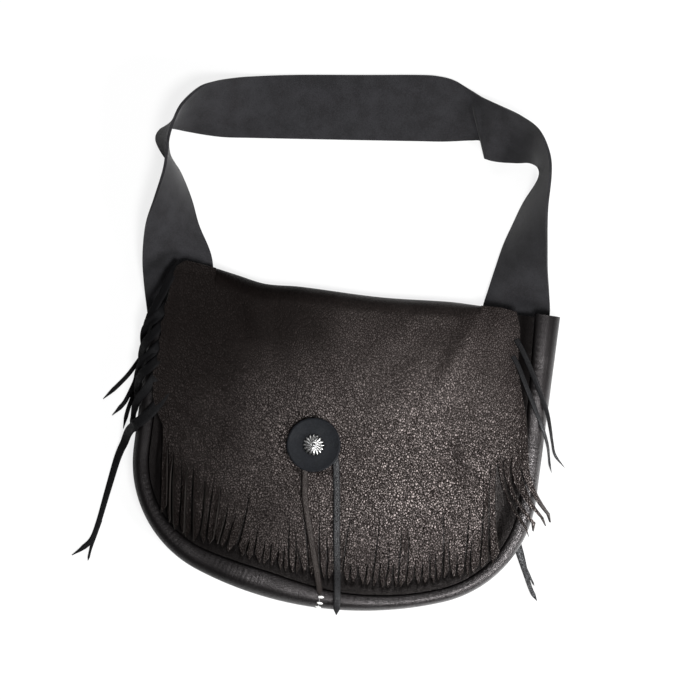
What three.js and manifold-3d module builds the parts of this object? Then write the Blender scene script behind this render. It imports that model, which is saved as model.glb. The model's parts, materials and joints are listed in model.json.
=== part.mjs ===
// A leather fringe bag lying on its back. Sizes are in millimetres.
// +X runs along the mouth, +Y runs up the bag to the strap, and +Z points up from the floor.
import * as THREE from "three";
import { mergeVertices } from "three/addons/utils/BufferGeometryUtils.js";
import Module from "manifold-3d";

const wasm = await Module();
wasm.setup();

// Leather thicknesses, and the clearance left where one piece lies on another.
const HIDE = 1.8;
const STRAP_HIDE = 2.6;
const LACE_HIDE = 1.6;
const GAP = 0.35;

// Faces flatter than this are joined into larger ones.
const FINENESS = 0.06;

// The bag's plan: straight sides, two round lower corners and a shallow round bottom.
const HALF_WIDTH = 181;
const MOUTH_Y = 144;
const LEFT_GUSSET_TOP_Y = 97;
const CORNER_Y = -20;
const CORNER_RADIUS = 108;
const BOTTOM_RADIUS = 320;
const CORNER_X = HALF_WIDTH - CORNER_RADIUS;
const BOTTOM_CENTRE_Y =
  CORNER_Y + Math.sqrt((BOTTOM_RADIUS - CORNER_RADIUS) ** 2 - CORNER_X ** 2);
const BOTTOM_ANGLE = Math.atan2(CORNER_X, BOTTOM_CENTRE_Y - CORNER_Y);
const BOTTOM_LENGTH = BOTTOM_RADIUS * BOTTOM_ANGLE;
const CORNER_LENGTH = CORNER_RADIUS * (Math.PI / 2 - BOTTOM_ANGLE);

// The rolled gusset between the two panels, and where its seams lie in from the outline.
const ROLL_HEIGHT = 36;
const ROLL_SHARE = 0.56;
// The front seam, as [place along the outline, distance in from it].
const FRONT_SEAM = [
  [-365, 15], [-245, 15], [-180, 16], [-120, 19.5], [-85, 22], [-50, 23], [-18, 20.5], [15, 17],
  [53, 14.5], [99, 13], [180, 13.5], [245, 15.5], [330, 19], [410, 23],
];
const BACK_PANEL_INSET = 14;
const ALLOWANCE = 6;
const GUSSET_JOIN_X = 1;

// Heights across the bag, as [distance in from the outline, height]: what the flap lies on.
const UNDER_FLAP = [
  [-20, 12],
  [-10, 27],
  [-2, 35.4],
  [4, 38],
  [10, 38.2],
  [16, 37],
  [24, 34],
  [36, 31.6],
  [52, 29.6],
  [80, 27.2],
  [120, 26],
  [181, 25.6],
];
// How far the front panel's edge drops under that height, by its distance in from the seam.
const EDGE_CURL = [
  [-1, 8.5],
  [2, 5.4],
  [6, 3],
  [11, 1.2],
  [19, 0.2],
  [31, 0],
  [164, 0],
];
// The front panel's top edge stands higher beside the strap's right end.
const FRONT_PANEL_TOP_Y = 125;
const FRONT_PANEL_RIGHT_TOP_Y = 141;
const FRONT_PANEL_STEP = [
  [124, 141],
  [113, 125],
];
const CELL = 14;

// The fold that joins the flap to the back panel, between the strap's two ends.
const NECK_LEFT = -128;
const NECK_RIGHT = 109;
const NECK_LINE = [
  [-128, 147.3],
  [-110, 144],
  [-84, 139.5],
  [-53, 141],
  [20, 141],
  [82, 145],
  [109, 145],
];
const NECK_OVERLAP = 1;

// The flap's own edge beside the fringe, as [distance out from the bag's side, y]: down the left side,
// and back up the right side.
const FLAP_LEFT = [
  [-52.6, 147.4], [-38.5, 149], [-27, 150.5], [-23.5, 149], [-18.5, 144.5],
  [-16.5, 138.5], [-16, 130.5], [-14.5, 122.5], [-14, 113.5], [-12, 107],
  [-13.5, 100], [-11, 92.5], [-12.5, 84.5], [-11.5, 76.5], [-13, 69.5],
  [-11.5, 63], [-12.5, 58], [-9.5, 49.5], [-11, 38], [-12.5, 26.5], [-16.5, 16.5],
];
const FLAP_RIGHT = [
  [3, -8],
  [-6, 16],
  [-13, 33],
  [-19, 50],
  [-24, 66],
  [-29, 83],
  [-33, 101],
  [-33, 114],
  [-35, 129],
  [-40, 143.5],
  [-55, 145.5],
  [-71.6, 145],
];
// Each cut of the fringe, from its top to its mouth: [top x, top y, mouth x, mouth y].
const CUTS = [
  [-157, 3, -149, -67], [-151, -9, -142, -72], [-144, -17, -137, -80], [-137, -23, -131, -83],
  [-131, -29, -125, -85], [-125, -28, -118, -89], [-114, -38, -112, -91], [-105, -37, -106, -91],
  [-99, -42, -99, -90], [-90, -59, -93, -90], [-82, -67, -86, -94], [-73, -44, -77, -96],
  [-67, -86, -69, -99], [-61, -76, -62, -101], [-54, -86, -54, -103], [-47, -85, -47, -103],
  [-41, -91, -41, -105], [-36, -88, -35, -106], [-34, -66, -30, -107], [-29, -73, -24, -107],
  [-25, -86, -18, -107], [-32, -20, -12, -106], [-13, -76, -7, -107], [-8, -56, -2, -108],
  [-1, -74, 4, -108], [6, -69, 11, -107], [19, -47, 18, -107], [24, -95, 25, -108],
  [31, -97, 32, -108], [39, -93, 39, -109], [45, -54, 45, -109], [51, -91, 51, -109],
  [56, -76, 57, -109], [62, -90, 63, -108], [65, -57, 68, -107], [71, -55, 75, -106],
  [81, -87, 82, -103], [87, -85, 88, -101], [92, -71, 95, -100], [98, -79, 101, -98],
  [98, -33, 106, -95], [108, -60, 112, -92], [117, -75, 118, -92], [122, -32, 125, -91],
  [130, -61, 132, -88], [129, 0, 139, -81], [135, 9, 147, -78], [141, 21, 156, -70],
  [147, 24, 164, -61], [151, 33, 171, -53], [155, 41, 178, -45], [158, 50, 185, -37],
];
const CUT_WIDTH = 1.2;
const TIP_DROP = 5;
const STRAND_WIDTH = 8;
// Where across its own width each strand comes to its point, taken in turn.
const TIP_LEANS = [0.2, 0.75, 0.5, 0.85, 0.3];

// Loose strands, each as [distance out from the bag's side, y, height] down its middle.
const STRAND_HIDE = 1.6;
const LEFT_STRANDS = [
  {
    width: 6.5,
    line: [
      [-20.5, 148, 38.2], [-16.5, 140.5, 39], [-13, 131, 39], [-10, 122, 37],
      [-6, 111.5, 34], [3, 101.5, 31], [4.5, 87.5, 22], [5.5, 74, 14], [6, 62, 8],
      [9, 53, 4], [15, 42.5, 2], [22, 33, 1.4], [29, 24.5, 1.2], [34.5, 18, 1.2],
    ],
  },
  {
    width: 6.5,
    line: [
      [-15, 109, 38.4], [-10, 102, 39.6], [-5, 96, 38.6], [2.5, 88, 33], [5.5, 79.5, 22],
      [5, 68.5, 13], [5.5, 57.5, 7], [6, 50, 4], [7, 42.5, 2.4],
    ],
  },
  {
    width: 6,
    line: [
      [-15, 96.5, 38.4], [-9.5, 88, 39.8], [-4, 80, 38.2], [3, 71.5, 31],
      [5.5, 63.5, 19], [6, 55.5, 10], [7, 47, 5], [7.5, 39, 3], [10.5, 29.5, 1.6],
      [14.5, 18.5, 1.4], [19, 11.5, 1.2], [24.5, 4.5, 1.2],
    ],
  },
  {
    width: 5.5,
    line: [
      [-15.5, 79.5, 38.4], [-10.5, 71, 39.6], [-4.5, 63, 38], [3, 55, 31], [5.5, 47, 18],
      [5.5, 38.5, 9], [6.5, 31, 4], [8.5, 22.5, 1.6], [10.5, 14.5, 1.2],
      [12, 4.5, 1.2], [13, -6, 1.2],
    ],
  },
  {
    width: 6.5,
    line: [
      [-15.5, 66.5, 38.4], [-11, 58.5, 39.4], [-5, 51, 38.2], [3, 43, 31.5],
      [5.5, 34, 20], [5, 24, 12], [5.5, 14, 6], [6, 4, 2.4], [7, -4.5, 1.4],
    ],
  },
  {
    width: 7,
    line: [
      [-15.5, 53, 38.4], [-11, 41.5, 39.4], [-5, 31, 38.2], [3, 20, 32.5],
      [5.5, 10, 21], [6, 1, 12], [8, -7.5, 5],
    ],
  },
  {
    width: 9.5,
    line: [
      [-23, 34, 37], [-16, 19, 39.4], [-8, 8, 39], [1, 0, 35], [7, -6, 23],
      [11, -16, 9], [15, -35, 3.4], [20, -66, 1.6], [24, -92, 1.4], [28, -108, 1.3],
      [35, -117, 1.2], [44, -125, 1.2],
    ],
  },
];
const LEFT_FORK = {
  width: 4.5,
  line: [[23, -90, 1.4], [26, -104, 1.3], [28, -117, 1.2], [29, -128, 1.2]],
};
const RIGHT_STRANDS = [
  {
    width: 5,
    line: [
      [-37, 119, 33.5], [-30, 109, 36.5], [-20, 92, 39.6], [-11, 76, 40], [-2.5, 60, 37],
      [3.5, 45, 26], [8, 33, 12], [13, 21, 3], [23, 11, 1.2],
    ],
  },
  {
    width: 4.5,
    line: [
      [-38, 104, 33.5], [-32, 95, 36], [-24, 80, 39], [-14, 62, 40], [-5, 46, 38.4],
      [2.5, 31, 28], [6.5, 21, 12], [9, 13, 3.4], [12, 5, 1.2],
    ],
  },
];
// A narrow strand of the back panel that comes out from under the lower right of the bag.
const BACK_TAIL = {
  width: 8,
  line: [[-23, -44, 0.9], [-15, -54, 0.9], [-7, -70, 0.9], [0, -86, 0.9], [7, -101, 0.9], [14, -111, 0.9]],
};
const BACK_TAIL_FORK = {
  width: 3.5,
  line: [[-5, -76, 0.9], [1, -85, 0.9], [6, -92, 0.9], [10, -98, 0.9]],
};

// The strap's two edges from its left end in the bag, round the loop, to its right end.
const STRAP_OUTER = [
  [-186, 101, 4.4], [-192, 128, 15], [-195, 151, 28], [-194, 177, 42], [-189, 199, 50],
  [-185, 217, 55], [-183, 230, 57.5], [-183, 243, 58.3], [-183, 257, 57.5], [-180, 273, 55.5],
  [-175, 287, 51.5], [-163, 303, 42], [-151, 311, 31], [-137, 317, 20], [-118, 323, 7],
  [-78, 330, 1.9], [-24, 337, 1.9], [29, 344, 1.9], [47, 345, 1.9], [61, 343, 2.4],
  [74, 337, 5], [85, 331, 11], [94, 327, 19], [103, 323, 27], [121, 315, 41],
  [138, 304, 49.5], [149, 285, 56], [153, 266, 57.5], [154, 239, 55], [156, 222, 51],
  [159, 205, 44], [163, 184, 34], [168, 165, 22], [172, 146, 13], [172, 124, 11],
  [170, 98, 9],
];
const STRAP_INNER = [
  [-130, 101, 3.5], [-130, 128, 7], [-134, 156, 18], [-150, 183, 9], [-160, 205, 4],
  [-170, 223, 2.2], [-178, 234, 1.9], [-189, 242, 1.9], [-198, 255, 1.9], [-196, 264, 1.9],
  [-188, 268, 1.9], [-171, 267, 1.9], [-154, 266, 1.9], [-137, 266, 1.9], [-115, 268, 1.9],
  [-70, 273, 1.9], [-16, 279, 1.9], [37, 285, 1.9], [55, 287, 1.9], [68, 289, 1.9],
  [82, 290, 1.9], [93, 288, 2.4], [99, 281, 2.6], [106, 276, 2.2], [124, 277, 1.9],
  [137, 279, 1.9], [146, 275, 1.9], [147, 264, 1.9], [137, 242, 1.9], [130, 221, 2],
  [124, 202, 3], [119, 179, 4.4], [115, 160, 6], [112, 144, 6], [112, 124, 4.6],
  [113, 98, 3.5],
];
const STRAP_STEPS = 70;

// The round button, the fluted concho on it, and the lace that ties both on.
const BUTTON = { x: -22, y: 3, radius: 24, thick: 4, bevel: 1.2 };
const LACE_WIDTH = 6;
const LACE_HOLE_RADIUS = 4.2;
const LACE_HOLE_OFFSET = 5;
const CONCHO_RADIUS = 9.75;
const CONCHO_HEIGHT = 7;
const CONCHO_WALL = 1;
const FLUTES = 16;
const FLUTE_DEPTH = 0.55;

// Curves and heights.

// The value at a distance along a list of [distance, value], running smoothly through its points.
function along(list, distance) {
  const last = list.length - 1;
  if (distance <= list[0][0]) return list[0][1];
  if (distance >= list[last][0]) return list[last][1];
  const i = list.findIndex((point) => point[0] > distance) - 1;
  const slopeAt = (k) => {
    const a = list[Math.max(k - 1, 0)];
    const b = list[Math.min(k + 1, last)];
    return (b[1] - a[1]) / (b[0] - a[0]);
  };
  const [x0, y0] = list[i];
  const [x1, y1] = list[i + 1];
  const span = x1 - x0;
  const t = (distance - x0) / span;
  return (
    y0 * (1 + 2 * t) * (1 - t) ** 2 +
    slopeAt(i) * span * t * (1 - t) ** 2 +
    y1 * t * t * (3 - 2 * t) -
    slopeAt(i + 1) * span * t * t * (1 - t)
  );
}

// A point of the outline, by its distance along the outline to the right of the bottom's middle.
function rim(distance) {
  const side = Math.sign(distance) || 1;
  const length = Math.abs(distance);
  let x = HALF_WIDTH;
  let y = CORNER_Y + length - BOTTOM_LENGTH - CORNER_LENGTH;
  let angle = Math.PI / 2;
  if (length < BOTTOM_LENGTH) {
    angle = length / BOTTOM_RADIUS;
    x = BOTTOM_RADIUS * Math.sin(angle);
    y = BOTTOM_CENTRE_Y - BOTTOM_RADIUS * Math.cos(angle);
  } else if (length < BOTTOM_LENGTH + CORNER_LENGTH) {
    angle = BOTTOM_ANGLE + (length - BOTTOM_LENGTH) / CORNER_RADIUS;
    x = CORNER_X + CORNER_RADIUS * Math.sin(angle);
    y = CORNER_Y - CORNER_RADIUS * Math.cos(angle);
  }
  return { x: side * x, y, inX: -side * Math.sin(angle), inY: Math.cos(angle) };
}

// The distance along the outline from the bottom's middle up to a height on a straight side.
function rimLengthTo(y) {
  return BOTTOM_LENGTH + CORNER_LENGTH + y - CORNER_Y;
}

// How far the front seam lies in from the outline, at a place along it.
function seamAt(distance) {
  return along(FRONT_SEAM, distance);
}

// The place along the outline nearest to a point of the plan.
function rimPlaceOf(x, y) {
  const side = Math.sign(x) || 1;
  if (y >= CORNER_Y) return side * rimLengthTo(y);
  const angle = Math.atan2(Math.abs(x), BOTTOM_CENTRE_Y - y);
  if (angle < BOTTOM_ANGLE) return side * BOTTOM_RADIUS * angle;
  const turn = Math.atan2(Math.abs(x) - CORNER_X, CORNER_Y - y) - BOTTOM_ANGLE;
  return side * (BOTTOM_LENGTH + CORNER_RADIUS * turn);
}

// How far a point of the plan lies in from the outline.
function insetAt(x, y) {
  if (y >= CORNER_Y) return HALF_WIDTH - Math.abs(x);
  const inBottom = Math.abs(x) < (BOTTOM_CENTRE_Y - y) * Math.tan(BOTTOM_ANGLE);
  if (inBottom) return BOTTOM_RADIUS - Math.hypot(x, y - BOTTOM_CENTRE_Y);
  return CORNER_RADIUS - Math.hypot(Math.abs(x) - CORNER_X, y - CORNER_Y);
}

function underFlap(x, y) {
  return along(UNDER_FLAP, insetAt(x, y));
}

function frontPanelTop(x, y) {
  const fromSeam = insetAt(x, y) - seamAt(rimPlaceOf(x, y));
  return underFlap(x, y) - GAP - along(EDGE_CURL, fromSeam);
}

// Places along the outline, close together round the corners.
function rimStations(from, to) {
  const stations = [from];
  const bends = [];
  for (let k = 0; k <= 3; k++) bends.push((BOTTOM_LENGTH * k) / 3);
  for (let k = 1; k <= 8; k++) bends.push(BOTTOM_LENGTH + (CORNER_LENGTH * k) / 8);
  bends.push(rimLengthTo(40));
  const both = [...bends.map((b) => -b).reverse(), ...bends.slice(1)];
  stations.push(...both.filter((b) => b > from + 4 && b < to - 4));
  stations.push(to);
  return stations;
}

// Building solids.

// A closed solid from points and triangles, facing outwards.
function solid(points, triangles) {
  const make = (order) =>
    new wasm.Manifold(
      new wasm.Mesh({
        numProp: 3,
        vertProperties: new Float32Array(points.flat()),
        triVerts: new Uint32Array(order),
      }),
    );
  const made = make(triangles);
  return made.volume() < 0 ? make([...triangles].reverse()) : made;
}

function solidOf(geometry) {
  const plain = geometry.index ? geometry.toNonIndexed() : geometry.clone();
  plain.deleteAttribute("normal");
  plain.deleteAttribute("uv");
  const merged = mergeVertices(plain, 1e-3);
  const position = merged.attributes.position;
  const points = [];
  for (let i = 0; i < position.count; i++)
    points.push([position.getX(i), position.getY(i), position.getZ(i)]);
  return solid(points, [...merged.index.array]);
}

// A body through a row of matching rings, closed at both ends. The section is one ring in its plane.
function loft(rings, section) {
  const count = section.length;
  const triangles = [];
  for (let i = 0; i + 1 < rings.length; i++)
    for (let j = 0; j < count; j++) {
      const a = i * count + j;
      const b = i * count + ((j + 1) % count);
      triangles.push(a, b, a + count, b, b + count, a + count);
    }
  const flat = section.map(([x, y]) => new THREE.Vector2(x, y));
  const turned = THREE.ShapeUtils.isClockWise(flat);
  const end = (rings.length - 1) * count;
  for (const [p, q, r] of THREE.ShapeUtils.triangulateShape(flat, [])) {
    const [s, t] = turned ? [r, q] : [q, r];
    triangles.push(p, t, s);
    triangles.push(end + p, end + s, end + t);
  }
  return solid(rings.flat(), triangles);
}

function prism(outline, low, high) {
  const shape = new THREE.Shape(outline.map(([x, y]) => new THREE.Vector2(x, y)));
  const geometry = new THREE.ExtrudeGeometry(shape, { depth: high - low, bevelEnabled: false });
  return solidOf(geometry.translate(0, 0, low));
}

// A sheet of one thickness on top of a height, over a rectangle in square cells.
function sheet(xs, ys, heightAt, thick) {
  const rings = ys.map((y) => [
    ...xs.map((x) => [x, y, heightAt(x, y) + thick]),
    ...[...xs].reverse().map((x) => [x, y, heightAt(x, y)]),
  ]);
  const section = [...xs.map((x) => [x, 1]), ...[...xs].reverse().map((x) => [x, 0])];
  return loft(rings, section);
}

function steps(from, to, size) {
  const first = Math.floor(from / size);
  const last = Math.ceil(to / size);
  return Array.from({ length: last - first + 1 }, (_, i) => (first + i) * size);
}

// A flat strip along a line, as wide as asked, that narrows to each end it is told to.
function strip(line, width, thick, count, { start = 1, end = 0.3, ends = 0.06 } = {}) {
  const curve = new THREE.CatmullRomCurve3(line.map((p) => new THREE.Vector3(...p)));
  const side = new THREE.Vector3(1, 0, 0);
  const up = new THREE.Vector3(0, 0, 1);
  const rings = [];
  for (let i = 0; i <= count; i++) {
    const t = i / count;
    const middle = curve.getPoint(t);
    const ahead = curve.getTangent(t);
    if (Math.hypot(ahead.x, ahead.y) > 0.4) side.crossVectors(up, ahead).normalize();
    const top = new THREE.Vector3().crossVectors(ahead, side).normalize();
    const narrow = Math.min(1, start + ((1 - start) * t) / ends, end + ((1 - end) * (1 - t)) / ends);
    const across = side.clone().multiplyScalar((width * narrow) / 2);
    const rise = top.multiplyScalar(thick / 2);
    rings.push(
      [[-1, -1], [1, -1], [1, 1], [-1, 1]].map(([a, b]) =>
        middle.clone().addScaledVector(across, a).addScaledVector(rise, b).toArray(),
      ),
    );
  }
  return loft(rings, [[-1, -1], [1, -1], [1, 1], [-1, 1]]);
}

// A line drawn from one side of the bag, -1 left or 1 right, by how far out from it each point lies.
function fromSide(side, line) {
  return line.map(([out, ...rest]) => [side * (HALF_WIDTH + out), ...rest]);
}

function strand(side, { line, width }) {
  return strip(fromSide(side, line), width, STRAND_HIDE, line.length * 2, { end: 0.15, ends: 0.12 });
}

// The pieces.

// The line down the middle of the gusset's leather, as [distance in from the outline, height].
function gussetLine(frontSeam) {
  const low = HIDE + GAP + HIDE / 2;
  const high = ROLL_HEIGHT - HIDE / 2;
  const rise = (high - low) / 2;
  const middle = ROLL_SHARE * frontSeam;
  const line = [[frontSeam + 7, low], [middle + 3, low]];
  for (let k = 0; k <= 8; k++) {
    const angle = -Math.PI / 2 - (k / 8) * Math.PI;
    const inward = middle + (middle - HIDE / 2) * Math.cos(angle);
    line.push([inward, low + rise + rise * Math.sin(angle)]);
  }
  const seam = frontSeam - HIDE / 2;
  line.push([seam - 2.8, high - 1], [seam - 0.7, high - 3.4], [seam, high - 6.4]);
  line.push([seam, high - 6.4 - ALLOWANCE]);
  return line;
}

// The outline of a strip of leather bent to a line, half its thickness to each side.
function thicken(line, thick) {
  const side = (k, sign) => {
    const before = line[Math.max(k - 1, 0)];
    const after = line[Math.min(k + 1, line.length - 1)];
    const along2 = [after[0] - before[0], after[1] - before[1]];
    const length = Math.hypot(...along2);
    const half = (sign * thick) / 2 / length;
    return [line[k][0] - along2[1] * half, line[k][1] + along2[0] * half];
  };
  const order = line.map((_, k) => k);
  return [...order.map((k) => side(k, 1)), ...order.reverse().map((k) => side(k, -1))];
}

function gusset(from, to) {
  const sectionAt = (station) => thicken(gussetLine(seamAt(station)), HIDE);
  const rings = rimStations(from, to).map((station) => {
    const at = rim(station);
    return sectionAt(station).map(([inward, z]) => [at.x + at.inX * inward, at.y + at.inY * inward, z]);
  });
  return loft(rings, sectionAt(from));
}

// The outline of a panel set in from the bag's outline, up to a height at each side.
function panelOutline(insetOf, leftTop, rightTop) {
  return rimStations(-rimLengthTo(leftTop), rimLengthTo(rightTop)).map((station) => {
    const at = rim(station);
    const inset = insetOf(station);
    return [at.x + at.inX * inset, at.y + at.inY * inset];
  });
}

function frontPanel() {
  const inset = (station) => seamAt(station) + GAP;
  const reach = HALF_WIDTH - Math.min(...FRONT_SEAM.map(([, distance]) => distance)) - GAP;
  const bottom = BOTTOM_CENTRE_Y - BOTTOM_RADIUS;
  const xs = steps(-reach, reach, CELL);
  const ys = steps(bottom, FRONT_PANEL_RIGHT_TOP_Y, CELL);
  const cloth = sheet(xs, ys, (x, y) => frontPanelTop(x, y) - HIDE, HIDE);
  const edge = panelOutline(inset, FRONT_PANEL_TOP_Y, FRONT_PANEL_RIGHT_TOP_Y);
  const cut = cloth.intersect(prism([...edge, ...FRONT_PANEL_STEP], 0, 60));
  return cut.add(turnedEdge(inset));
}

// The front panel's seam edge, turned down into the bag beside the gusset's.
function turnedEdge(insetOf) {
  const sectionAt = (station) => {
    const at = rim(station);
    const inset = insetOf(station);
    const top = frontPanelTop(at.x + at.inX * inset, at.y + at.inY * inset) - HIDE / 2;
    const low = top - ALLOWANCE;
    return [[inset, low], [inset + HIDE, low], [inset + HIDE, top], [inset, top]];
  };
  const from = -rimLengthTo(FRONT_PANEL_TOP_Y);
  const rings = rimStations(from, rimLengthTo(FRONT_PANEL_RIGHT_TOP_Y)).map((station) => {
    const at = rim(station);
    return sectionAt(station).map(([inward, z]) => [at.x + at.inX * inward, at.y + at.inY * inward, z]);
  });
  return loft(rings, sectionAt(from));
}

// How far out the fold stands, and the height it reaches, at a place along the mouth.
function neckAt(x) {
  const top = underFlap(x, MOUTH_Y) + HIDE;
  const outer = top / 2;
  return { outer, start: along(NECK_LINE, x) - outer };
}

function neckFold() {
  const arc = (radius, centreY, centreZ) =>
    Array.from({ length: 11 }, (_, k) => {
      const angle = Math.PI / 2 - (k * Math.PI) / 10;
      return [centreY + radius * Math.cos(angle), centreZ + radius * Math.sin(angle)];
    });
  const sectionAt = (x) => {
    const { outer, start } = neckAt(x);
    const outside = arc(outer, start, outer);
    const inside = arc(outer - HIDE, start, outer).reverse();
    const back = start - NECK_OVERLAP;
    return [
      [back, 2 * outer], ...outside, [back, 0],
      [back, HIDE], ...inside, [back, 2 * outer - HIDE],
    ];
  };
  const count = Math.round((NECK_RIGHT - NECK_LEFT) / CELL);
  const rings = Array.from({ length: count + 1 }, (_, i) => {
    const x = NECK_LEFT + ((NECK_RIGHT - NECK_LEFT) * i) / count;
    return sectionAt(x).map(([y, z]) => [x, y, z]);
  });
  return loft(rings, sectionAt(NECK_LEFT));
}

// The fringe's lower edge: down one side of each strand, round its point, and up to the next cut.
function fringeEdge() {
  const mouths = [...CUTS.map(([, , x, y]) => [x, y]), [192, -31]];
  const edge = [];
  CUTS.forEach(([topX, topY], i) => {
    const [x0, y0] = mouths[i];
    const [x1, y1] = mouths[i + 1];
    const width = Math.min(x1 - x0 - CUT_WIDTH, STRAND_WIDTH);
    const left = x0 + CUT_WIDTH / 2;
    const lean = TIP_LEANS[i % TIP_LEANS.length];
    const low = (y0 + y1) / 2 - TIP_DROP;
    edge.push([topX, topY], [left, low + TIP_DROP * 2 * lean]);
    edge.push([left + width * lean, low]);
    edge.push([left + width, low + TIP_DROP * 2 * (1 - lean)]);
  });
  return edge;
}

function flapOutline() {
  const neck = NECK_LINE.map(([x]) => [x, neckAt(x).start]).reverse();
  return [...fromSide(-1, FLAP_LEFT), ...fringeEdge(), ...fromSide(1, FLAP_RIGHT), ...neck];
}

function hide() {
  const xs = steps(-HALF_WIDTH, HALF_WIDTH + 20, CELL);
  const ys = steps(-118, 152, CELL);
  const flap = sheet(xs, ys, underFlap, HIDE).intersect(prism(flapOutline(), 0, 60));
  const neckStart = NECK_LINE.map(([x]) => [x, neckAt(x).start + 0.5]);
  const back = panelOutline(() => BACK_PANEL_INSET, MOUTH_Y, MOUTH_Y);
  const backOutline = [...back, [NECK_RIGHT + 2, MOUTH_Y], ...neckStart.reverse(), [NECK_LEFT - 2, MOUTH_Y]];
  const pieces = [
    flap,
    neckFold(),
    prism(backOutline, 0, HIDE),
    ...[...LEFT_STRANDS, LEFT_FORK].map((one) => strand(-1, one)),
    ...[...RIGHT_STRANDS, BACK_TAIL, BACK_TAIL_FORK].map((one) => strand(1, one)),
  ];
  return wasm.Manifold.union(pieces);
}

function shoulderStrap() {
  const outer = new THREE.CatmullRomCurve3(STRAP_OUTER.map((p) => new THREE.Vector3(...p)));
  const inner = new THREE.CatmullRomCurve3(STRAP_INNER.map((p) => new THREE.Vector3(...p)));
  const section = [[0, 0], [0.5, 0], [1, 0], [1, 1], [0.5, 1], [0, 1]];
  const rings = [];
  for (let i = 0; i <= STRAP_STEPS; i++) {
    const t = i / STRAP_STEPS;
    const a = outer.getPoint(t);
    const b = inner.getPoint(t);
    const ahead = outer.getTangent(t).add(inner.getTangent(t));
    const across = b.clone().sub(a);
    const face = new THREE.Vector3().crossVectors(across, ahead).normalize();
    rings.push(
      section.map(([u, v]) =>
        a.clone().lerp(b, u).addScaledVector(face, (v - 0.5) * STRAP_HIDE).toArray(),
      ),
    );
  }
  return loft(rings, section);
}

function buttonBase() {
  return underFlap(BUTTON.x, BUTTON.y) + HIDE + LACE_HIDE + 2 * GAP;
}

function laceHole(side) {
  const hole = new THREE.CylinderGeometry(LACE_HOLE_RADIUS, LACE_HOLE_RADIUS, 20, 16);
  return solidOf(hole.rotateX(Math.PI / 2).translate(side * LACE_HOLE_OFFSET, 0, 0));
}

function button() {
  const { radius, thick, bevel } = BUTTON;
  const profile = [
    [0, 0],
    [radius - 0.6, 0],
    [radius, 0.6],
    [radius, thick - bevel],
    [radius - bevel, thick],
    [0, thick],
  ];
  const round = new THREE.LatheGeometry(profile.map(([x, y]) => new THREE.Vector2(x, y)), 48);
  return solidOf(round.rotateX(Math.PI / 2))
    .subtract(laceHole(-1))
    .subtract(laceHole(1))
    .translate([BUTTON.x, BUTTON.y, buttonBase()]);
}

// The concho's upper face: a dome with rounded flutes that deepen outwards, and a small boss.
function conchoFace(radius, angle) {
  const out = radius / CONCHO_RADIUS;
  const dome = (CONCHO_HEIGHT - 1) * (1 - out ** 2.6) + 0.8;
  const flute = FLUTE_DEPTH * Math.cos(FLUTES * angle + out) * out * out;
  const boss = 0.7 * Math.exp(-((radius / 1.5) ** 2));
  return dome + flute + boss;
}

function concho() {
  const turns = FLUTES * 4;
  const outer = [0.14, 0.3, 0.48, 0.66, 0.82, 0.93, 1];
  const inner = [0.88, 0.7, 0.45, 0.2];
  const points = [[0, 0, conchoFace(0, 0)]];
  const ring = (radiusAt, zAt) => {
    for (let j = 0; j < turns; j++) {
      const angle = (j * 2 * Math.PI) / turns;
      const radius = radiusAt(angle);
      points.push([radius * Math.cos(angle), radius * Math.sin(angle), zAt(radius, angle)]);
    }
  };
  const scallop = (angle) => 1 + 0.03 * Math.cos(FLUTES * angle + 1);
  outer.forEach((f) => ring((a) => f * CONCHO_RADIUS * (f === 1 ? scallop(a) : 1), conchoFace));
  ring((angle) => CONCHO_RADIUS * scallop(angle), () => 0);
  ring(() => 0.92 * CONCHO_RADIUS, () => 0);
  const under = (radius) => Math.max(conchoFace(radius, Math.PI / 2) - CONCHO_WALL - FLUTE_DEPTH, 0.3);
  inner.forEach((f) => ring(() => f * CONCHO_RADIUS, under));
  points.push([0, 0, CONCHO_HEIGHT - CONCHO_WALL - FLUTE_DEPTH]);
  const rings = outer.length + 2 + inner.length;
  const last = points.length - 1;
  const triangles = [];
  for (let j = 0; j < turns; j++) {
    const k = (j + 1) % turns;
    triangles.push(0, 1 + j, 1 + k);
    for (let i = 0; i + 1 < rings; i++) {
      const a = 1 + i * turns + j;
      const b = 1 + i * turns + k;
      triangles.push(a, a + turns, b, b, a + turns, b + turns);
    }
    triangles.push(last, last - turns + k, last - turns + j);
  }
  const bar = solidOf(new THREE.BoxGeometry(1.8, 1.84 * CONCHO_RADIUS, 1.1).translate(0, 0, 0.85));
  return solid(points, triangles)
    .add(bar)
    .translate([BUTTON.x, BUTTON.y, buttonBase() + BUTTON.thick + GAP]);
}

// The lace: up one tail, under the button, up through it, over the concho's bar, and down again.
function lace() {
  const { x, y, thick } = BUTTON;
  const base = buttonBase();
  const low = base - GAP - LACE_HIDE / 2;
  const top = base + thick + GAP + 2.2;
  const lie = (px, py) => [px, py, underFlap(px, py) + HIDE + GAP + LACE_HIDE / 2];
  const left = [[1, -127], [0, -120], [-4, -107], [-10, -88], [-16, -68], [-22, -45], [-27, -20]];
  const right = [[0, -12], [3, -28], [5, -45], [9, -77], [13, -103], [16, -125], [17, -141]];
  const hole = LACE_HOLE_OFFSET;
  const through = [
    [x - 9, y - 14, low], [x - 13, y - 5, low], [x - 10, y, low],
    [x - hole - 0.4, y, base - 0.1], [x - hole, y, base + 1.6], [x - hole, y, base + thick - 0.4],
    [x - hole + 1.3, y, top - 1], [x - 1.6, y, top], [x + 1.6, y, top],
    [x + hole - 1.3, y, top - 1], [x + hole, y, base + thick - 0.4], [x + hole, y, base + 1.6],
    [x + hole + 0.4, y, base - 0.1], [x + 10, y, low], [x + 15, y - 1, low], [x + 19, y - 6, low],
  ];
  const line = [...left.map((p) => lie(...p)), ...through, ...right.map((p) => lie(...p))];
  return strip(line, LACE_WIDTH, LACE_HIDE, line.length * 3, { start: 0.3, end: 0.2, ends: 0.02 });
}

// The whole bag.

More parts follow.
